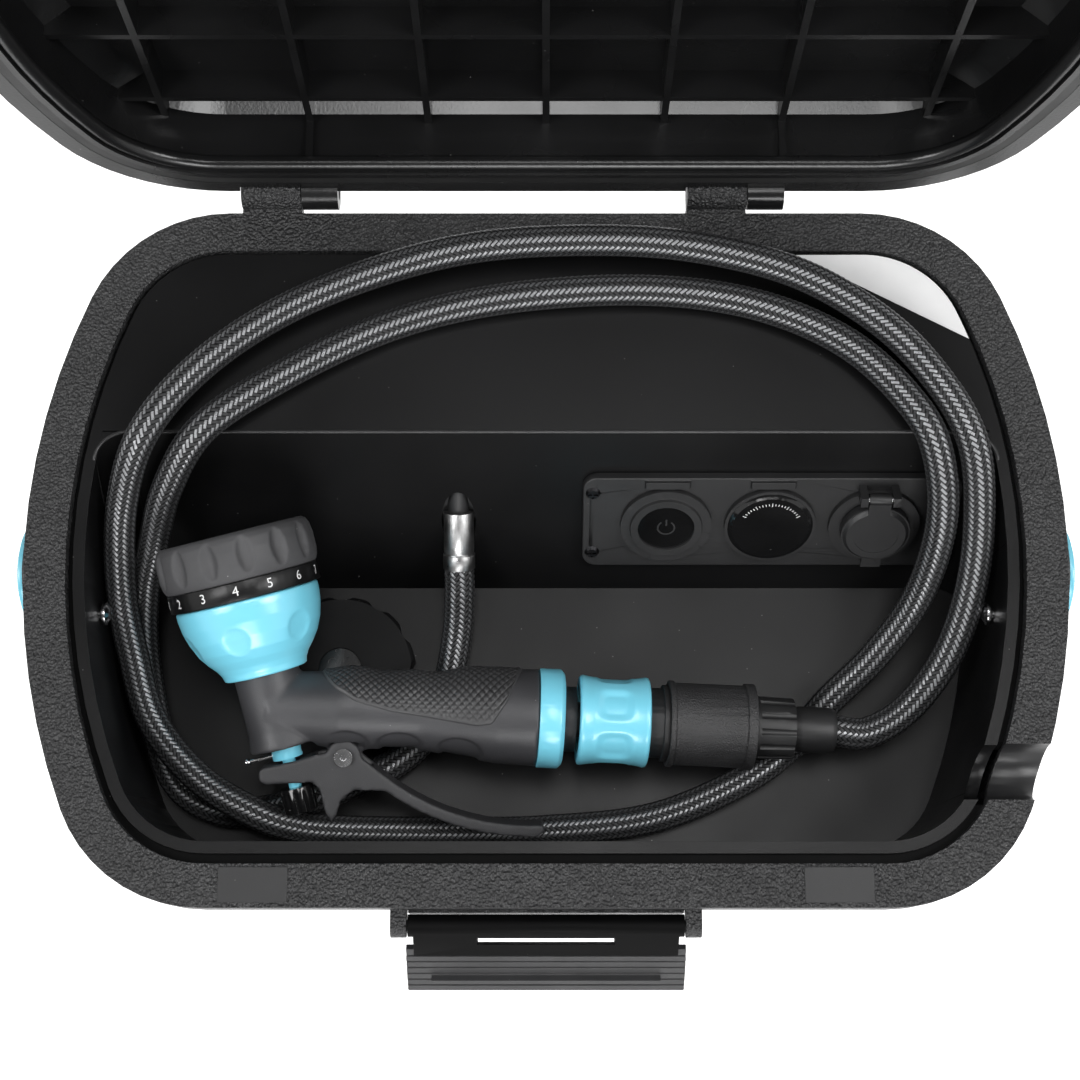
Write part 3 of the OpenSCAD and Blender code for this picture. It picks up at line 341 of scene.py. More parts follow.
# mesh helpers
def makePiece(name, points, faces, finish, body, slot, smooth=True):
    mesh = bpy.data.meshes.new(name)
    mesh.from_pydata([tuple(p) for p in points], [], faces)
    mesh.validate()
    build = bmesh.new()
    build.from_mesh(mesh)
    bmesh.ops.recalc_face_normals(build, faces=build.faces)
    build.to_mesh(mesh)
    build.free()
    mesh.materials.append(finishes[finish])
    if smooth:
        mesh.shade_smooth()
    piece = bpy.data.objects.new(name, mesh)
    scene.collection.objects.link(piece)
    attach(piece, body)
    return piece


edgeLook = {"weld": 0.000004, "angle": math.radians(32), "segments": 2}


def softenEdges(piece, width):
    weld = piece.modifiers.new("weld", "WELD")
    weld.merge_threshold = edgeLook["weld"]
    bevel = piece.modifiers.new("edge", "BEVEL")
    bevel.width = width
    bevel.segments = edgeLook["segments"]
    bevel.limit_method = "ANGLE"
    bevel.angle_limit = edgeLook["angle"]
    bevel.harden_normals = True
    bevel.use_clamp_overlap = True


def gridFaces(rows, columns, closedRows=False, closedColumns=False):
    rowCount = rows if closedRows else rows - 1
    columnCount = columns if closedColumns else columns - 1
    faces = []
    for i in range(rowCount):
        for j in range(columnCount):
            a = i * columns + j
            b = i * columns + (j + 1) % columns
            c = ((i + 1) % rows) * columns + (j + 1) % columns
            d = ((i + 1) % rows) * columns + j
            faces.append((a, b, c, d))
    return faces


def tubeFaces(rows, columns):
    ends = [tuple(range(columns - 1, -1, -1)), tuple(range((rows - 1) * columns, rows * columns))]
    return gridFaces(rows, columns, False, True) + ends


def densify(profile, step):
    fine = []
    for (a0, r0), (a1, r1) in zip(profile, profile[1:] + profile[:1]):
        count = max(1, round(math.hypot(a1 - a0, r1 - r0) / step))
        for k in range(count):
            t = k / count
            fine.append((a0 + (a1 - a0) * t, r0 + (r1 - r0) * t))
    return fine


def smoothCurve(points, perSpan):
    pts = [Vector(p) for p in points]
    pts = [2 * pts[0] - pts[1]] + pts + [2 * pts[-1] - pts[-2]]
    fine = []
    for i in range(1, len(pts) - 2):
        p0, p1, p2, p3 = pts[i - 1:i + 3]
        for k in range(perSpan):
            t = k / perSpan
            fine.append(0.5 * (2 * p1 + (p2 - p0) * t + (2 * p0 - 5 * p1 + 4 * p2 - p3) * t * t
                               + (3 * p1 - p0 - 3 * p2 + p3) * t ** 3))
    fine.append(pts[-2])
    return fine


def turned(name, look, place, finish, body, slot, shape):
    outline = densify(look["profile"], look["step"])
    segments = look["segments"]
    points = []
    for along, radius in outline:
        for j in range(segments):
            angle = 2 * math.pi * j / segments
            r = radius + shape(along, radius, angle)
            points.append(place @ Vector((r * mm * math.cos(angle), r * mm * math.sin(angle), along * mm)))
    return makePiece(name, points, gridFaces(len(outline), segments, True, True), finish, body, slot)


# floor and backdrop, white to the eye and in reflections only
floorFinish = Finish("paleFloor")
floorShade = floorFinish.ramp(floorFinish.noise(2.0, 2), 0.3, 0.7, *studio["floorTones"])
floorRay = floorFinish.node("LightPath").outputs
floorSeen = floorFinish.calc(floorRay["Is Camera Ray"], floorRay["Is Glossy Ray"], "MAXIMUM")
floorSeen = floorFinish.calc(floorSeen, floorRay["Is Transmission Ray"], "MAXIMUM")
floorFinish.paint(Base_Color=floorShade, Roughness=0.9, Specular_IOR_Level=0.1, Emission_Color=(1, 1, 1, 1),
                  Emission_Strength=floorFinish.calc(floorSeen, studio["floorGlow"], "MULTIPLY"))


def stagePiece(name, points, faces):
    mesh = bpy.data.meshes.new(name)
    mesh.from_pydata(points, [], faces)
    mesh.materials.append(floorFinish.material)
    piece = bpy.data.objects.new(name, mesh)
    scene.collection.objects.link(piece)


reach, drop = studio["floorSize"] / 2, -studio["floorDrop"]
floorCorners = [(-reach, -reach, drop), (reach, -reach, drop), (reach, reach, drop), (-reach, reach, drop)]
stagePiece("floor", floorCorners, [(0, 1, 2, 3)])
wallTurns = [2 * math.pi * k / studio["wallSides"] for k in range(studio["wallSides"])]
wallPoints = [(studio["wallRadius"] * math.cos(a), studio["wallRadius"] * math.sin(a), z)
              for z in (studio["wallFoot"], studio["wallTop"]) for a in wallTurns]
stagePiece("backdrop", wallPoints, gridFaces(2, studio["wallSides"], False, True))
print("floor and backdrop ready")


# braided hose: one tube whose skin is two crossing sets of yarn
hoseLook = {"diameter": 12.6 * mm, "yarns": 18, "pitch": 2.3 * mm, "around": 72, "perPitch": 4, "perSpan": 14,
            "crown": 0.45 * mm, "weave": 0.32 * mm, "ferrule": 20, "straight": 10, "cuffEnd": 228,
            "cuffLead": 14, "pathStep": 8}
wallTilt = math.radians(33.9)  # lean of the sloping wall
outletLook = {"x": -36, "shelf": 45.7, "top": 258, "down": 45.5, "tilt": math.radians(29)}
outletWay = Vector((0, -math.cos(outletLook["tilt"]), -math.sin(outletLook["tilt"])))
outletPlace = Vector((outletLook["x"], outletLook["shelf"] - outletLook["down"] * math.sin(wallTilt),
                      outletLook["top"] - outletLook["down"] * math.cos(wallTilt))) * mm
hoseStops = [
    (-37, -22, 199), (-41, -44, 196), (-48, -62, 195.5), (-62, -76, 195.5), (-88, -88, 195.5),
    (-116, -96, 195.5), (-136, -95, 195.5), (-152, -84, 196.5), (-161, -60, 200), (-166, -31, 205),
    (-165, -8, 215), (-159, 8, 231), (-150, 26, 252), (-134, 45.5, 268), (-105, 66, 268.5),
    (-66, 86.5, 267), (-26, 98, 267), (21, 103, 267), (61, 101.5, 267), (93, 94, 267), (120, 80, 267.5),
    (140, 60, 268.5), (152, 39, 267), (156.5, 13, 251), (151, -12, 225), (136, -33, 207), (117, -51, 198),
    (101, -69, 195.2), (80, -84, 195.5), (43, -99, 195.5), (-2, -104, 195.5), (-36, -104.5, 195.5),
    (-62, -104.5, 196), (-84, -104.4, 200), (-100, -103.4, 204.5), (-116, -98.8, 209.2),
    (-140, -84.5, 210.5), (-159, -62, 214), (-167, -36, 220), (-171, -10, 231), (-168.5, 19, 249),
    (-157, 43, 269.5), (-136, 69, 272), (-105, 92, 272), (-66, 108.5, 274), (-26, 118, 276),
    (21, 120.5, 276.5), (61, 117.5, 276), (100, 107.5, 274), (132, 88.5, 271.5), (153, 65, 271),
    (166.5, 40, 267.5), (170.5, 13, 254), (168.5, -14, 240), (160.5, -38, 227), (146, -57, 218)]
cuffPlace = nozzleOrigin + nozzleX * hoseLook["cuffEnd"] * mm
ferruleEnds = (hoseLook["ferrule"], hoseLook["ferrule"] + hoseLook["straight"])
hoseRoute = [outletPlace + outletWay * reach * mm for reach in ferruleEnds]
hoseRoute += [Vector(p) * mm for p in hoseStops]
hoseRoute += [cuffPlace + nozzleX * hoseLook["cuffLead"] * mm, cuffPlace]


def evenPath(points, step):
    line = np.array([tuple(p) for p in smoothCurve(points, hoseLook["perSpan"])])
    run = np.concatenate([[0], np.cumsum(np.linalg.norm(np.diff(line, axis=0), axis=1))])
    count = int(round(run[-1] / step))
    stops = np.linspace(0, run[-1], count + 1)
    return np.stack([np.interp(stops, run, line[:, k]) for k in range(3)], 1), stops


def carriedFrames(path):
    way = np.gradient(path, axis=0)
    way /= np.linalg.norm(way, axis=1)[:, None]
    side = np.cross(way[0], (0, 0, 1.0))
    side /= np.linalg.norm(side)
    sides = [side]
    for t in way[1:]:
        s = sides[-1] - t * np.dot(sides[-1], t)
        sides.append(s / np.linalg.norm(s))
    sides = np.array(sides)
    return way, sides, np.cross(way, sides)


def yarnRise(run, angle):
    turn = angle / (2 * math.pi) * hoseLook["yarns"]
    a = turn + run / hoseLook["pitch"]
    b = turn - run / hoseLook["pitch"]
    aIndex, bIndex = np.floor(a), np.floor(b)
    aCrown = np.sqrt(np.clip(1 - (2 * (a - aIndex) - 1) ** 2, 0, 1))
    bCrown = np.sqrt(np.clip(1 - (2 * (b - bIndex) - 1) ** 2, 0, 1))
    aSwing = np.cos(math.pi / 2 * (aIndex + b - 1))
    bSwing = np.cos(math.pi / 2 * (a + bIndex - 3))
    crown, weave = hoseLook["crown"], hoseLook["weave"]
    return np.maximum(aCrown * crown + aSwing * weave, bCrown * crown + bSwing * weave)


def layPhases(mesh, run, around):
    owner = np.zeros(len(mesh.loops), np.int32)
    mesh.loops.foreach_get("vertex_index", owner)
    sides = np.zeros(len(mesh.polygons), np.int32)
    mesh.polygons.foreach_get("loop_total", sides)
    face = np.repeat(np.arange(len(sides)), sides)
    row, column = owner // around, owner % around
    wraps = (column == 0) & (face % around == around - 1)
    turn = (column + wraps * around) / around * hoseLook["yarns"]
    ahead = run[row] / hoseLook["pitch"]
    layer = mesh.uv_layers.new(name="weave")
    layer.data.foreach_set("uv", np.stack([turn + ahead, turn - ahead], 1).reshape(-1).astype(np.float32))


def braidedHose():
    path, run = evenPath(hoseRoute, hoseLook["pitch"] / hoseLook["perPitch"])
    way, side, up = carriedFrames(path)
    around = hoseLook["around"]
    angle = np.arange(around) * 2 * math.pi / around
    rise = yarnRise(run[:, None], angle[None, :])
    top = hoseLook["crown"] + hoseLook["weave"]
    radius = hoseLook["diameter"] / 2 - top + rise
    ring = np.cos(angle)[None, :, None] * side[:, None, :] + np.sin(angle)[None, :, None] * up[:, None, :]
    skin = (path[:, None, :] + radius[:, :, None] * ring).reshape(-1, 3)
    faces = tubeFaces(len(path), around)
    piece = makePiece("braidedHose", skin.tolist(), faces, "braidBlack", "case", "hose_braid")
    layPhases(piece.data, run, around)
    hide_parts("hose")
    return piece, path[::hoseLook["pathStep"]].tolist() + [path[-1].tolist()], float(run[-1])


hosePiece, hosePath, hoseLength = braidedHose()
print("hose", round(hoseLength, 4), "m long,", len(hosePiece.data.vertices), "points")


# CAD nodes that keep their shape: finish and edge width in mm
nodeLooks = {
    "outer_shell": ("caseGrain", 0.8), "top_tray": ("traySatin", 0.8), "lid_shell": ("lidGloss", 0.5),
    "lid_seal": ("sealRubber", 0), "latch_plate": ("latchGrain", 0.5), "handle_bail": ("latchGrain", 0.8),
    "handle_grip": ("softRubber", 0.5), "hub_caps": ("blueGloss", 0.4), "control_panel": ("panelMatt", 0.5),
    "panel_screws": ("blackScrew", 0), "switch_housing": ("panelMatt", 0.4),
    "power_button": ("gaugeGloss", 0.4), "voltmeter_housing": ("panelMatt", 0.3),
    "voltmeter_lens": ("gaugeGloss", 0.2), "socket_housing": ("panelMatt", 0.4),
    "socket_cap": ("panelMatt", 0.4), "cap_hinge_pin": ("platedSteel", 0),
    "outlet_fitting": ("panelMatt", 0.2), "hose_ferrule": ("brushedSteel", 0.3),
    "hinge_pins": ("panelMatt", 0.2), "latch_pin": ("panelMatt", 0.2), "pivot_bolts": ("platedSteel", 0.4),
    "fill_cap": ("capBlack", 0.8), "cap_gasket": ("sealRubber", 0), "vent_insert": ("gaugeGloss", 0.3),
    "nozzle_collar": ("blueGloss", 0.4), "nozzle_nipple": ("panelMatt", 0.2),
    "nipple_oring": ("sealRubber", 0), "connector_core": ("panelMatt", 0.3),
    "adapter_body": ("leatherBlack", 0.4), "dial_ring": ("ringSatin", 0.3),
    "spray_face": ("triggerGrain", 0.3), "trigger_screw": ("platedSteel", 0.25),
    "valve_stem": ("blueGloss", 0.3), "flow_knob": ("gaugeGloss", 0.2), "lock_wire": ("platedSteel", 0),
    "hose_nut": ("panelMatt", 0.4), "hose_cuff": ("panelMatt", 0.4), "water_tank": ("tankGrey", 0.5),
    "pump_bracket": ("panelMatt", 0.4), "pump_motor": ("motorPaint", 0.5), "pump_head": ("panelMatt", 0.6),
    "battery_pack": ("batteryWrap", 0.8), "pickup_tube": ("tankGrey", 0), "delivery_tube": ("tankGrey", 0),
    "tray_bolts": ("platedSteel", 0.3),
}
roundNodes = ("lid_shell", "handle_bail")


def shadeRound(mesh):
    if "custom_normal" in mesh.attributes:
        mesh.attributes.remove(mesh.attributes["custom_normal"])
    mesh.shade_smooth()


for nodeName in roundNodes:
    shadeRound(nodes[nodeName].data)
for nodeName, (finishName, edge) in nodeLooks.items():
    nodes[nodeName].data.materials.clear()
    nodes[nodeName].data.materials.append(finishes[finishName])
    if edge:
        softenEdges(nodes[nodeName], edge * mm)
print("CAD nodes dressed:", len(nodeLooks))


# the neck of the latch is painted near-black as painted shade, its grip bar is grained and ribbed
neckShadeLook = {"reach": 12.4 * mm, "finish": "paintedShadeBlack"}
latchSwing = math.radians(joints["latch_swing"]["range_deg"][1])
latchWay = Vector((0, -math.sin(latchSwing), math.cos(latchSwing)))
latchMesh = nodes["latch_plate"].data
latchMesh.materials.append(finishes[neckShadeLook["finish"]])
for face in latchMesh.polygons:
    if (face.center - pointOf("latch_swing")).dot(latchWay) < neckShadeLook["reach"]:
        face.material_index = 1
gripLook = {"half": 53.3, "from": 12.5, "to": 35.9, "back": -2.0, "face": 0.55, "groove": 0.9, "deep": 0.75,
            "pitch": 3.3, "edge": 0.15 * mm}


def latchGrip():
    place = frameMatrix(pointOf("latch_swing"), Vector((1, 0, 0)),
                        Vector((0, math.cos(latchSwing), math.sin(latchSwing))), latchWay)
    start, end, half = gripLook["from"], gripLook["to"], gripLook["half"]
    face, floor, groove = gripLook["face"], gripLook["face"] - gripLook["deep"], gripLook["groove"]
    profile = [(gripLook["back"], end), (gripLook["back"], start), (face, start)]
    at = start + gripLook["pitch"]
    while at < end - groove:
        profile += [(face, at), (floor, at + groove * 0.3), (floor, at + groove * 0.7), (face, at + groove)]
        at += gripLook["pitch"]
    profile.append((face, end))
    points = [place @ (Vector((x, y, z)) * mm) for x in (-half, half) for y, z in profile]
    faces = tubeFaces(2, len(profile))
    piece = makePiece("latchGrip", points, faces, "latchGrain", "latch", "latch_plastic", False)
    softenEdges(piece, gripLook["edge"])


latchGrip()


# outline of the case as in the part's source
caseLook = {"length": 405, "depth": 277, "sideRadius": 267, "edgeHalf": 128}


def caseOutline(inset, perArc=14):
    halfB, bulge, edge = caseLook["depth"] / 2, caseLook["sideRadius"], caseLook["edgeHalf"]
    sideX = caseLook["length"] / 2 - bulge
    corner = (bulge ** 2 - (edge - sideX) ** 2 - halfB ** 2) / (2 * (bulge - halfB))
    cornerY = halfB - corner
    sideA = math.atan2(cornerY, edge - sideX)
    arcs = [(sideX, 0, bulge, -sideA, sideA), (edge, cornerY, corner, sideA, math.pi / 2),
            (-edge, cornerY, corner, math.pi / 2, math.pi - sideA),
            (-sideX, 0, bulge, math.pi - sideA, math.pi + sideA),
            (-edge, -cornerY, corner, math.pi + sideA, 1.5 * math.pi),
            (edge, -cornerY, corner, 1.5 * math.pi, 2 * math.pi - sideA)]
    points = []
    for x, y, r, a0, a1 in arcs:
        for k in range(perArc):
            a = a0 + (a1 - a0) * (k + 0.5) / perArc
            points.append((x + (r - inset) * math.cos(a), y + (r - inset) * math.sin(a)))
    return points


def insideRing(x, y, ring):
    hit = False
    for (x0, y0), (x1, y1) in zip(ring, ring[1:] + ring[:1]):
        if (y0 > y) != (y1 > y) and x < x0 + (x1 - x0) * (y - y0) / (y1 - y0):
            hit = not hit
    return hit


# the trough of the hose notch is smooth, and the ledge inside the rim is painted near-black as painted shade
notchLook = {"across": -88.0, "level": 262.0, "margin": 0.1, "radius": 10.9, "from": 150, "finish": "trayLip"}
ledgeShadeLook = {"inset": 16.6, "low": 200, "high": 261.6, "finish": "paintedShadeBlack"}
shellMesh = nodes["outer_shell"].data
for shellLook in (notchLook, ledgeShadeLook):
    shellMesh.materials.append(finishes[shellLook["finish"]])
ledgeRing = caseOutline(ledgeShadeLook["inset"])
for face in shellMesh.polygons:
    spot = face.center / mm
    away = math.hypot(spot.y - notchLook["across"], spot.z - notchLook["level"])
    inTrough = away < notchLook["radius"] and spot.z < notchLook["level"] - notchLook["margin"]
    inShadeBand = ledgeShadeLook["low"] < spot.z < ledgeShadeLook["high"]
    if spot.x > notchLook["from"] and inTrough:
        face.material_index = 1
    elif inShadeBand and face.material_index == 0 and insideRing(spot.x, spot.y, ledgeRing):
        face.material_index = 2


# smooth pads on the front rim
def boxPoints(low, high):
    return [(x, y, z) for z in (low[2], high[2]) for x, y in
            ((low[0], low[1]), (high[0], low[1]), (high[0], high[1]), (low[0], high[1]))]


boxFaces = [(3, 2, 1, 0), (4, 5, 6, 7), (0, 1, 5, 4), (1, 2, 6, 5), (2, 3, 7, 6), (3, 0, 4, 7)]
padRim = {"places": (-109, 109), "half": 13, "front": -136.6, "back": -123.4, "low": 261.7, "high": 262.36,
          "edge": 0.5 * mm}


def rimPad(name, place):
    low = (place - padRim["half"], padRim["front"], padRim["low"])
    high = (place + padRim["half"], padRim["back"], padRim["high"])
    piece = makePiece(name, [Vector(c) * mm for c in boxPoints(low, high)], boxFaces, "padSatin", "case",
                      "case_plastic", False)
    softenEdges(piece, padRim["edge"])


for padName, padPlace in zip(("rimPadLeft", "rimPadRight"), padRim["places"]):
    rimPad(padName, padPlace)


# rounded lip along the shelf edge, and round corners where the sloping wall meets the sides
cornerLook = {"radius": 11, "shelf": 45.7, "top": 259.93, "floor": 190, "sink": 0.6, "steps": 10}
pocketLook = {"inset": 23.1, "taper": 2.4 / 68, "shift": 1.5, "slope": math.tan(wallTilt)}
lipLook = {"radius": 0.9, "level": 259.3, "sides": 12}


def pocketSide(y, depth):
    bulge = caseLook["sideRadius"] - pocketLook["inset"] - pocketLook["taper"] * depth
    sideX = caseLook["length"] / 2 - caseLook["sideRadius"]
    return sideX + math.sqrt(bulge ** 2 - (y - pocketLook["shift"]) ** 2)


def cornerArc(depth, grow):
    radius = cornerLook["radius"]
    wallY = cornerLook["shelf"] - depth * pocketLook["slope"]
    backX, frontX = pocketSide(wallY, depth), pocketSide(wallY - radius, depth)
    arc = []
    for k in range(cornerLook["steps"] + 1):
        a = math.pi / 2 * (1 - k / cornerLook["steps"])
        arc.append((backX - radius + (radius + frontX - backX + grow) * math.cos(a),
                    wallY - radius + (radius + grow) * math.sin(a)))
    return arc, (backX, wallY)


def shelfCorner(name, hand):
    points = []
    for level in (cornerLook["top"], cornerLook["floor"]):
        arc, corner = cornerArc(cornerLook["top"] - level, 0)
        sink = cornerLook["sink"]
        ring = ([(arc[0][0], arc[0][1] + sink)] + arc + [(arc[-1][0] + sink, arc[-1][1])]
                + [(corner[0] + sink, corner[1] + sink)])
        points += [Vector((hand * x, y, level)) * mm for x, y in ring]
    makePiece(name, points, tubeFaces(2, len(points) // 2), "traySatin", "case", "tray_plastic", False)


def shelfLip():
    radius, sides = lipLook["radius"], lipLook["sides"]
    arc = cornerArc(0, radius)[0]
    line = [(-x, y) for x, y in reversed(arc)] + arc
    points = []
    for i, (x, y) in enumerate(line):
        before, after = line[max(0, i - 1)], line[min(len(line) - 1, i + 1)]
        way = (Vector(after) - Vector(before)).normalized()
        for k in range(sides):
            a = 2 * math.pi * k / sides
            out = radius * math.cos(a)
            level = lipLook["level"] + radius * math.sin(a)
            points.append(Vector((x - way.y * out, y + way.x * out, level)) * mm)
    makePiece("shelfLip", points, tubeFaces(len(line), sides), "trayLip", "case", "tray_plastic")


shelfCorner("shelfCornerLeft", -1)
shelfCorner("shelfCornerRight", 1)
shelfLip()


# nozzle body and trigger: the CAD solids melted into one moulded skin, then shaped
def meltedSkin(node, voxel, passes):
    source = bpy.data.objects.new(node + "Melt", nodes[node].data.copy())
    scene.collection.objects.link(source)
    remesh = source.modifiers.new("skin", "REMESH")
    remesh.mode = "VOXEL"
    remesh.voxel_size = voxel
    smooth = source.modifiers.new("melt", "SMOOTH")
    smooth.factor = 0.5
    smooth.iterations = passes
    bpy.context.view_layer.update()
    melted = source.evaluated_get(bpy.context.evaluated_depsgraph_get())
    made = melted.to_mesh()
    points = np.zeros(len(made.vertices) * 3)
    made.vertices.foreach_get("co", points)
    faces = [tuple(p.vertices) for p in made.polygons]
    melted.to_mesh_clear()
    bpy.data.objects.remove(source)
    return points.reshape(-1, 3), faces


def toLocal(points, place):
    back = np.array(place.inverted())
    return points @ back[:3, :3].T + back[:3, 3]


def toWorld(points, place):
    out = np.array(place)
    return points @ out[:3, :3].T + out[:3, 3]


def bump(x, centre, width):
    return np.exp(-((x - centre) / width) ** 2)


handleLook = {"voxel": 0.9 * mm, "passes": 6, "from": 26, "fadeIn": 6, "to": 104, "fadeOut": 4, "skin": 12,
              "humps": (36, 58, 80), "humpWide": 8, "humpRise": 1.6, "leaves": (33, 54, 78), "leafSize": 1.1,
              "leafLong": 9, "leafAt": 0.80, "leafWide": 0.34, "leafDeep": 1.0, "leafEdge": 0.3,
              "stations": (2, 30, 62, 92, 108.5), "radii": (13.5, 15.5, 14.8, 18.8, 19.4)}
triggerLook = {"voxel": 0.7 * mm, "passes": 5}


def humpsAt(x, back):
    humps = sum(bump(x, c, handleLook["humpWide"]) for c in handleLook["humps"])
    return humps * back * handleLook["humpRise"]


def nozzleShell():
    points, faces = meltedSkin("nozzle_body", handleLook["voxel"], handleLook["passes"])
    local = toLocal(points, nozzleFrame) / mm
    x, y, z = local.T
    reachOut = np.maximum(np.hypot(y, z), 1e-6)
    outward = local / reachOut[:, None]
    outward[:, 0] = 0
    onHandle = np.clip((x - handleLook["from"]) / handleLook["fadeIn"], 0, 1)
    onHandle *= np.clip((handleLook["to"] - x) / handleLook["fadeOut"], 0, 1)
    onHandle *= reachOut > handleLook["skin"]
    rise = humpsAt(x, np.clip(y / reachOut, 0, 1) ** 2)
    across = (-y / reachOut - handleLook["leafAt"]) / handleLook["leafWide"]
    for c in handleLook["leaves"]:
        along = (x - c) / handleLook["leafLong"]
        inLeaf = (handleLook["leafSize"] - along ** 2 - across ** 2) / handleLook["leafEdge"]
        rise -= handleLook["leafDeep"] * np.clip(inLeaf, 0, 1)
    local += outward * (rise * onHandle)[:, None]
    piece = makePiece("nozzleShell", toWorld(local * mm, nozzleFrame).tolist(), faces, "nozzleSatin", "case",
                      "nozzle_plastic")
    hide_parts("nozzle_body")


def triggerLever():
    points, faces = meltedSkin("trigger", triggerLook["voxel"], triggerLook["passes"])
    piece = makePiece("triggerLever", points.tolist(), faces, "triggerGrain", "trigger_lever",
                      "nozzle_plastic")
    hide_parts("trigger")


nozzleShell()
triggerLever()


# hatched grip pad over the back of the handle
padLook = {"edge": [(22, 84), (24, 58), (28, 38), (36, 19), (50, 6), (70, -3), (84, -8), (90, -4), (96, 26),
                    (100, 62), (101.5, 86)], "smoothing": 5, "step": 0.4, "columns": 110, "proud": 0.75,
           "sink": 0.5, "swell": 1.2, "hatch": 2.2, "hatchRise": 0.7, "slant": 0.7071, "margin": 1.6,
           "fade": 0.8, "meanRadius": 16, "halfTurn": 50, "innerRadius": 12.5}


def gripPad():
    edgeX, edgeAngle = zip(*padLook["edge"])
    rows, columns = int((edgeX[-1] - edgeX[0]) / padLook["step"]), padLook["columns"]
    xs = np.linspace(edgeX[0], edgeX[-1], rows)
    window = padLook["smoothing"]
    low = np.pad(np.interp(xs, edgeX, edgeAngle), window // 2, mode="edge")
    low = np.convolve(low, np.ones(window) / window, mode="valid")[:, None]
    t = np.linspace(0, 1, columns)[None, :]
    sweep = 180 - 2 * low
    angle = np.radians(low + sweep * t)
    x = np.repeat(xs[:, None], columns, 1)
    around = (angle - math.pi / 2) * padLook["meanRadius"]
    # two crossing sets of grooves
    turn = math.pi / padLook["hatch"] * padLook["slant"]
    ridges = [np.clip(2.0 * np.abs(np.sin(turn * (x + way * around))), 0, 1) for way in (1, -1)]
    hatch = np.minimum(ridges[0], ridges[1])
    nearSide = np.minimum(t, 1 - t) * sweep / 180 * padLook["halfTurn"]
    nearEnd = np.minimum(xs - xs[0], xs[-1] - xs)[:, None]
    nearEdge = np.minimum(nearSide, nearEnd)
    swell = np.clip(nearEdge / padLook["swell"], 0, 1) ** 0.5
    inside = np.clip((nearEdge - padLook["margin"]) / padLook["fade"], 0, 1)
    radius = np.interp(x, handleLook["stations"], handleLook["radii"])
    radius += humpsAt(x, np.clip(np.sin(angle), 0, 1) ** 2)
    radius += (padLook["proud"] + padLook["sink"]) * swell - padLook["sink"]
    radius -= padLook["hatchRise"] * (1 - hatch) * inside
    outer, inner = [np.stack([x, r * np.sin(angle), r * np.cos(angle)], -1).reshape(-1, 3)
                    for r in (radius, padLook["innerRadius"])]
    outerFaces = gridFaces(rows, columns)
    offset = rows * columns
    innerFaces = [tuple(offset + k for k in reversed(f)) for f in outerFaces]
    rim = (list(range(columns)) + [i * columns + columns - 1 for i in range(1, rows)]
           + [(rows - 1) * columns + j for j in range(columns - 2, -1, -1)]
           + [i * columns for i in range(rows - 2, 0, -1)])
    walls = [(a, b, offset + b, offset + a) for a, b in zip(rim, rim[1:] + rim[:1])]
    points = toWorld(np.concatenate([outer, inner]) * mm, nozzleFrame)
    piece = makePiece("gripPadSkin", points.tolist(), outerFaces + innerFaces + walls, "gripRubber", "case",
                      "soft_grip")
    # painted shade: the depth of each hatch groove, kept as the groove attribute, darkens the paint there
    groove = np.concatenate([((1 - hatch) * inside).reshape(-1), np.zeros(offset)])
    level = piece.data.attributes.new("groove", "FLOAT", "POINT")
    level.data.foreach_set("value", groove.astype(np.float32))
    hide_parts("grip_pad")


gripPad()


# spray head: bell with round flats, rubber bezel with finger dents, numbered ring
bellLook = {"profile": [(30, 13.1), (30, 15.9), (30.4, 16.6), (32.5, 17.1), (35, 18.6), (38, 21.2),
                        (42, 24.0), (47, 26.3), (53, 27.9), (58, 28.5), (60.4, 28.5), (61, 28.1), (61, 25.0),
                        (41, 20), (40, 4), (32, 4), (32, 13.1)],
            "segments": 180, "step": 0.7, "flats": 6, "flatAt": 46, "flatRadius": 5.6, "flatDeep": 1.0,
            "turn": 18, "skin": 17, "skinFrom": 33, "meanRadius": 25.5}
bezelLook = {"profile": [(68.6, 26.05), (68.6, 29.4), (69.2, 30.2), (71, 31.0), (74, 31.5), (80, 31.5),
                         (84, 30.9), (86, 29.9), (87, 28.4), (87, 26.6), (86.4, 26.05)],
             "segments": 224, "step": 0.7, "dents": 14, "dentAt": 78, "dentLong": 7.2, "dentWide": 3.1,
             "dentDeep": 2.1, "skin": 27.5, "meanRadius": 31}


def offNearest(angle, count, turn=0.0):
    spacing = 2 * math.pi / count
    return (angle - turn + spacing / 2) % spacing - spacing / 2


def bellFlats(along, radius, angle):
    if radius < bellLook["skin"] or along < bellLook["skinFrom"]:
        return 0
    off = offNearest(angle, bellLook["flats"], math.radians(bellLook["turn"])) * bellLook["meanRadius"]
    away = math.hypot(along - bellLook["flatAt"], off) / bellLook["flatRadius"]
    return -bellLook["flatDeep"] * max(0, 1 - away * away) ** 0.6


def bezelDents(along, radius, angle):
    if radius < bezelLook["skin"]:
        return 0
    off = offNearest(angle, bezelLook["dents"]) * bezelLook["meanRadius"]
    away = math.hypot((along - bezelLook["dentAt"]) / bezelLook["dentLong"], off / bezelLook["dentWide"])
    return -bezelLook["dentDeep"] * max(0, 1 - away * away) ** 0.7


bellPiece = turned("bellShell", bellLook, headFrame, "blueGloss", "case", "blue_plastic", bellFlats)
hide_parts("head_bell")
bezelPiece = turned("bezelRubber", bezelLook, headFrame, "softRubber", "dial", "soft_grip", bezelDents)
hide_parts("dial_bezel")

ringLook = {"numbers": 7, "facing": -90, "spacing": 26, "size": 5.2, "middle": 64.95, "radius": 30.02,
            "thick": 0.12}


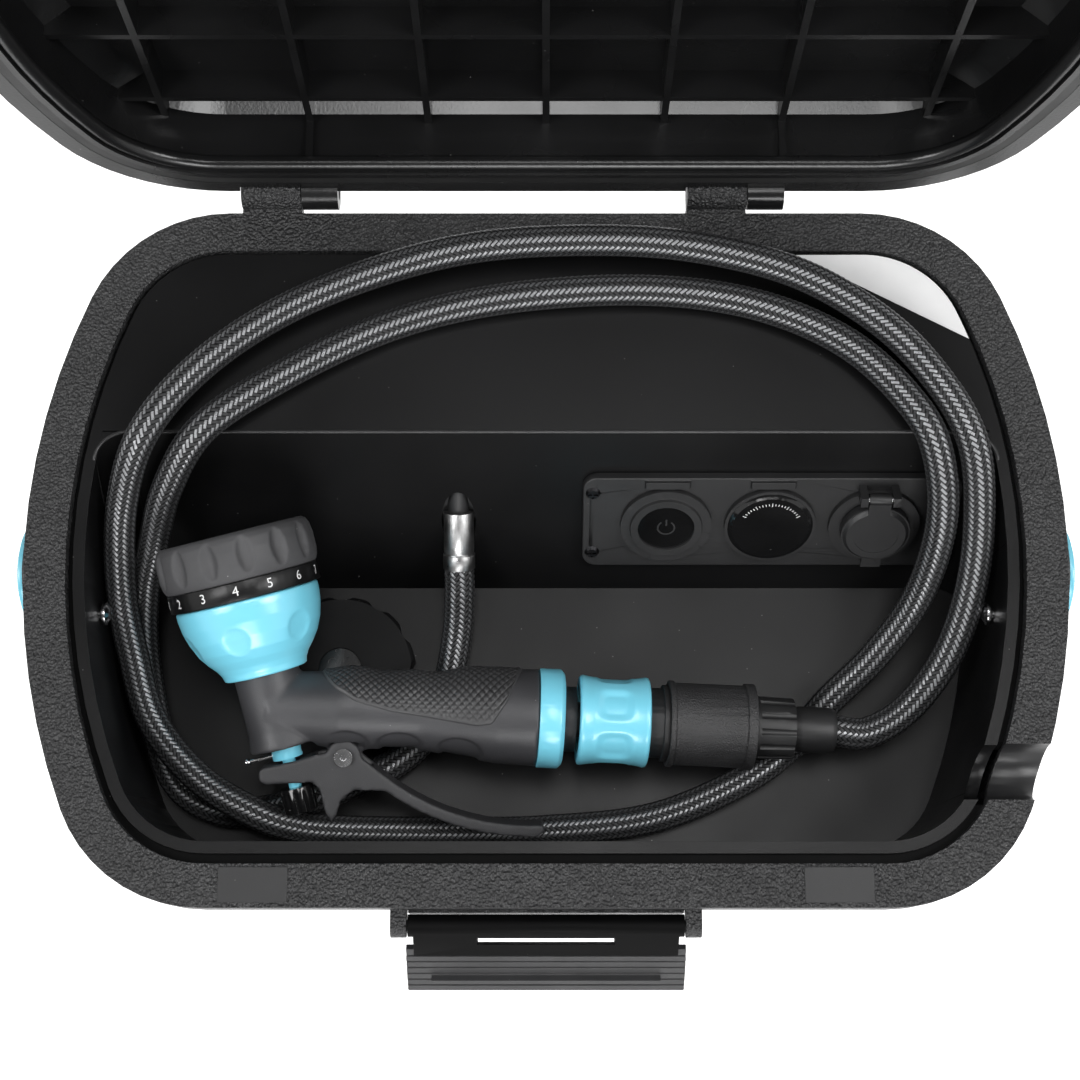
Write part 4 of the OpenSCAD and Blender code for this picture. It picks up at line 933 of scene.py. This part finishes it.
def ringNumber(value, angle):
    letters = bpy.data.curves.new("ringText", "FONT")
    letters.body = str(value)
    letters.size = ringLook["size"]
    letters.align_x = "CENTER"
    letters.align_y = "CENTER"
    letters.extrude = ringLook["thick"] / 2
    letters.resolution_u = 4
    holder = bpy.data.objects.new("ringText", letters)
    scene.collection.objects.link(holder)
    bpy.context.view_layer.update()
    flat = bpy.data.meshes.new_from_object(holder.evaluated_get(bpy.context.evaluated_depsgraph_get()))
    bpy.data.objects.remove(holder)
    points = []
    for v in flat.vertices:
        turn = angle + v.co.x / ringLook["radius"]
        r = ringLook["radius"] + v.co.z
        spot = Vector((r * math.cos(turn), r * math.sin(turn), ringLook["middle"] + v.co.y))
        points.append(headFrame @ (spot * mm))
    faces = [tuple(p.vertices) for p in flat.polygons]
    makePiece(f"ringNumber{value}", points, faces, "whiteMark", "dial", "nozzle_plastic", False)


for number in range(ringLook["numbers"]):
    offMiddle = number - (ringLook["numbers"] - 1) / 2
    ringNumber(number + 1, math.radians(ringLook["facing"] + ringLook["spacing"] * offMiddle))


# connector sleeve with thumb dents
sleeveLook = {"profile": [(124.5, 14.1), (124.5, 17.0), (125, 17.8), (126, 18), (128, 17.6), (130, 17.3),
                          (147, 17.3), (149, 17.6), (151, 18), (152, 17.8), (152.5, 17.0), (152.5, 14.1)],
              "segments": 168, "step": 0.6, "dents": 6, "dentAt": 138.5, "dentLong": 7.8, "dentWide": 7.2,
              "dentDeep": 1.1, "skin": 15, "meanRadius": 17}


def sleeveDents(along, radius, angle):
    if radius < sleeveLook["skin"]:
        return 0
    off = offNearest(angle, sleeveLook["dents"]) * sleeveLook["meanRadius"]
    away = ((abs(along - sleeveLook["dentAt"]) / sleeveLook["dentLong"]) ** 4
            + (abs(off) / sleeveLook["dentWide"]) ** 4) ** 0.25
    inward = min(1, max(0, 2 * (1 - away)))
    return -sleeveLook["dentDeep"] * inward * inward * (3 - 2 * inward)


alongNozzle = frameMatrix(nozzleOrigin, nozzleY, nozzleZ, nozzleX)
sleevePiece = turned("sleeveShell", sleeveLook, alongNozzle, "blueGloss", "sleeve", "blue_plastic",
                     sleeveDents)
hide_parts("connector_sleeve")
print("nozzle dressed")


# lid: a rounded bead round its opening, drawn shut and swung open about the hinge
beadLook = {"inset": 11.6, "level": 266.4, "radius": 3.2, "sides": 14}


def lidPlace(point):
    hinge = pointOf("lid_hinge")
    swing = Matrix.Rotation(-math.radians(joints["lid_hinge"]["range_deg"][1]), 4, "X")
    return hinge + swing @ (Vector(point) * mm - hinge)


def lidBead():
    line = caseOutline(beadLook["inset"])
    count = len(line)
    points = []
    for i in range(count):
        before, after = Vector(line[i - 1]), Vector(line[(i + 1) % count])
        way = (after - before).normalized()
        out = Vector((way.y, -way.x))
        for j in range(beadLook["sides"]):
            a = 2 * math.pi * j / beadLook["sides"]
            side = out * beadLook["radius"] * math.cos(a)
            points.append(lidPlace((line[i][0] + side.x, line[i][1] + side.y,
                                    beadLook["level"] + beadLook["radius"] * math.sin(a))))
    faces = gridFaces(count, beadLook["sides"], True, True)
    makePiece("lidBead", points, faces, "lidGloss", "lid", "lid_plastic")


lidBead()

# plain white corner mark on the shelf
markLook = {"from": (101, 121.0), "to": (168.2, 84.5), "level": 260.0, "thick": 0.25, "inset": 18.9,
            "shift": 1.5, "gap": 0.02, "perArc": 40}


def cornerMark():
    start, end = Vector(markLook["from"]), Vector(markLook["to"])
    cut = (end - start).normalized()
    outward = Vector((-cut.y, cut.x))
    rim = [Vector((x, y + markLook["shift"])) for x, y in caseOutline(markLook["inset"], markLook["perArc"])]
    edge = [p for p in rim if (p - start).dot(outward) > 0 and p.x > 0]
    edge.sort(key=lambda p: -(p - start).dot(cut))
    edge.append(start)
    low = markLook["level"] + markLook["gap"]
    points = [Vector((p.x, p.y, z)) * mm for z in (low, low + markLook["thick"]) for p in edge]
    makePiece("cornerMark", points, tubeFaces(2, len(edge)), "whiteMark", "case", "tray_plastic", False)


cornerMark()
print("lid bead and corner mark made")


# small marks on the panel: a ring and bar on the switch, plain ticks on the gauge
switchLook = {"radius": 3.4, "width": 0.7, "level": 7.02, "thick": 0.12, "from": 125, "to": 415, "steps": 40,
              "barHalf": 0.35, "barFrom": 1.2, "barTo": 4.4}
gaugeLook = {"radius": 12.6, "width": 1.0, "longWidth": 1.7, "longEvery": 5, "level": 7.42, "thick": 0.1,
             "ticks": 21, "from": 150, "pitch": 6, "half": 0.7, "steps": 2}


def ringSector(place, look, width, start, end):
    inner, outer = look["radius"] - width / 2, look["radius"] + width / 2
    low, high = look["level"], look["level"] + look["thick"]
    points = []
    for k in range(look["steps"] + 1):
        a = math.radians(start + (end - start) * k / look["steps"])
        for r, z in ((inner, low), (outer, low), (outer, high), (inner, high)):
            points.append(place @ (Vector((r * math.cos(a), r * math.sin(a), z)) * mm))
    return points, tubeFaces(look["steps"] + 1, 4)


def switchBar(place):
    low = (-switchLook["barHalf"], switchLook["barFrom"], switchLook["level"])
    high = (switchLook["barHalf"], switchLook["barTo"], switchLook["level"] + switchLook["thick"])
    return [place @ (Vector(c) * mm) for c in boxPoints(low, high)], boxFaces


def gaugeTick(place, number):
    width = gaugeLook["width"] if number % gaugeLook["longEvery"] else gaugeLook["longWidth"]
    middle = gaugeLook["from"] - gaugeLook["pitch"] * number
    return ringSector(place, gaugeLook, width, middle - gaugeLook["half"], middle + gaugeLook["half"])


def joined(parts):
    points, faces = [], []
    for p, f in parts:
        faces += [tuple(i + len(points) for i in face) for face in f]
        points += p
    return points, faces


switchPlace, gaugePlace = panelFrame(-1), panelFrame(0)
switchRing = ringSector(switchPlace, switchLook, switchLook["width"], switchLook["from"], switchLook["to"])
switchMark = joined([switchRing, switchBar(switchPlace)])
makePiece("switchMark", *switchMark, "panelMatt", "button", "gauge_plastic", False)
ticks = [gaugeTick(gaugePlace, number) for number in range(gaugeLook["ticks"])]
makePiece("gaugeTicks", *joined(ticks), "whiteMark", "case", "gauge_plastic", False)
print("panel marks made")
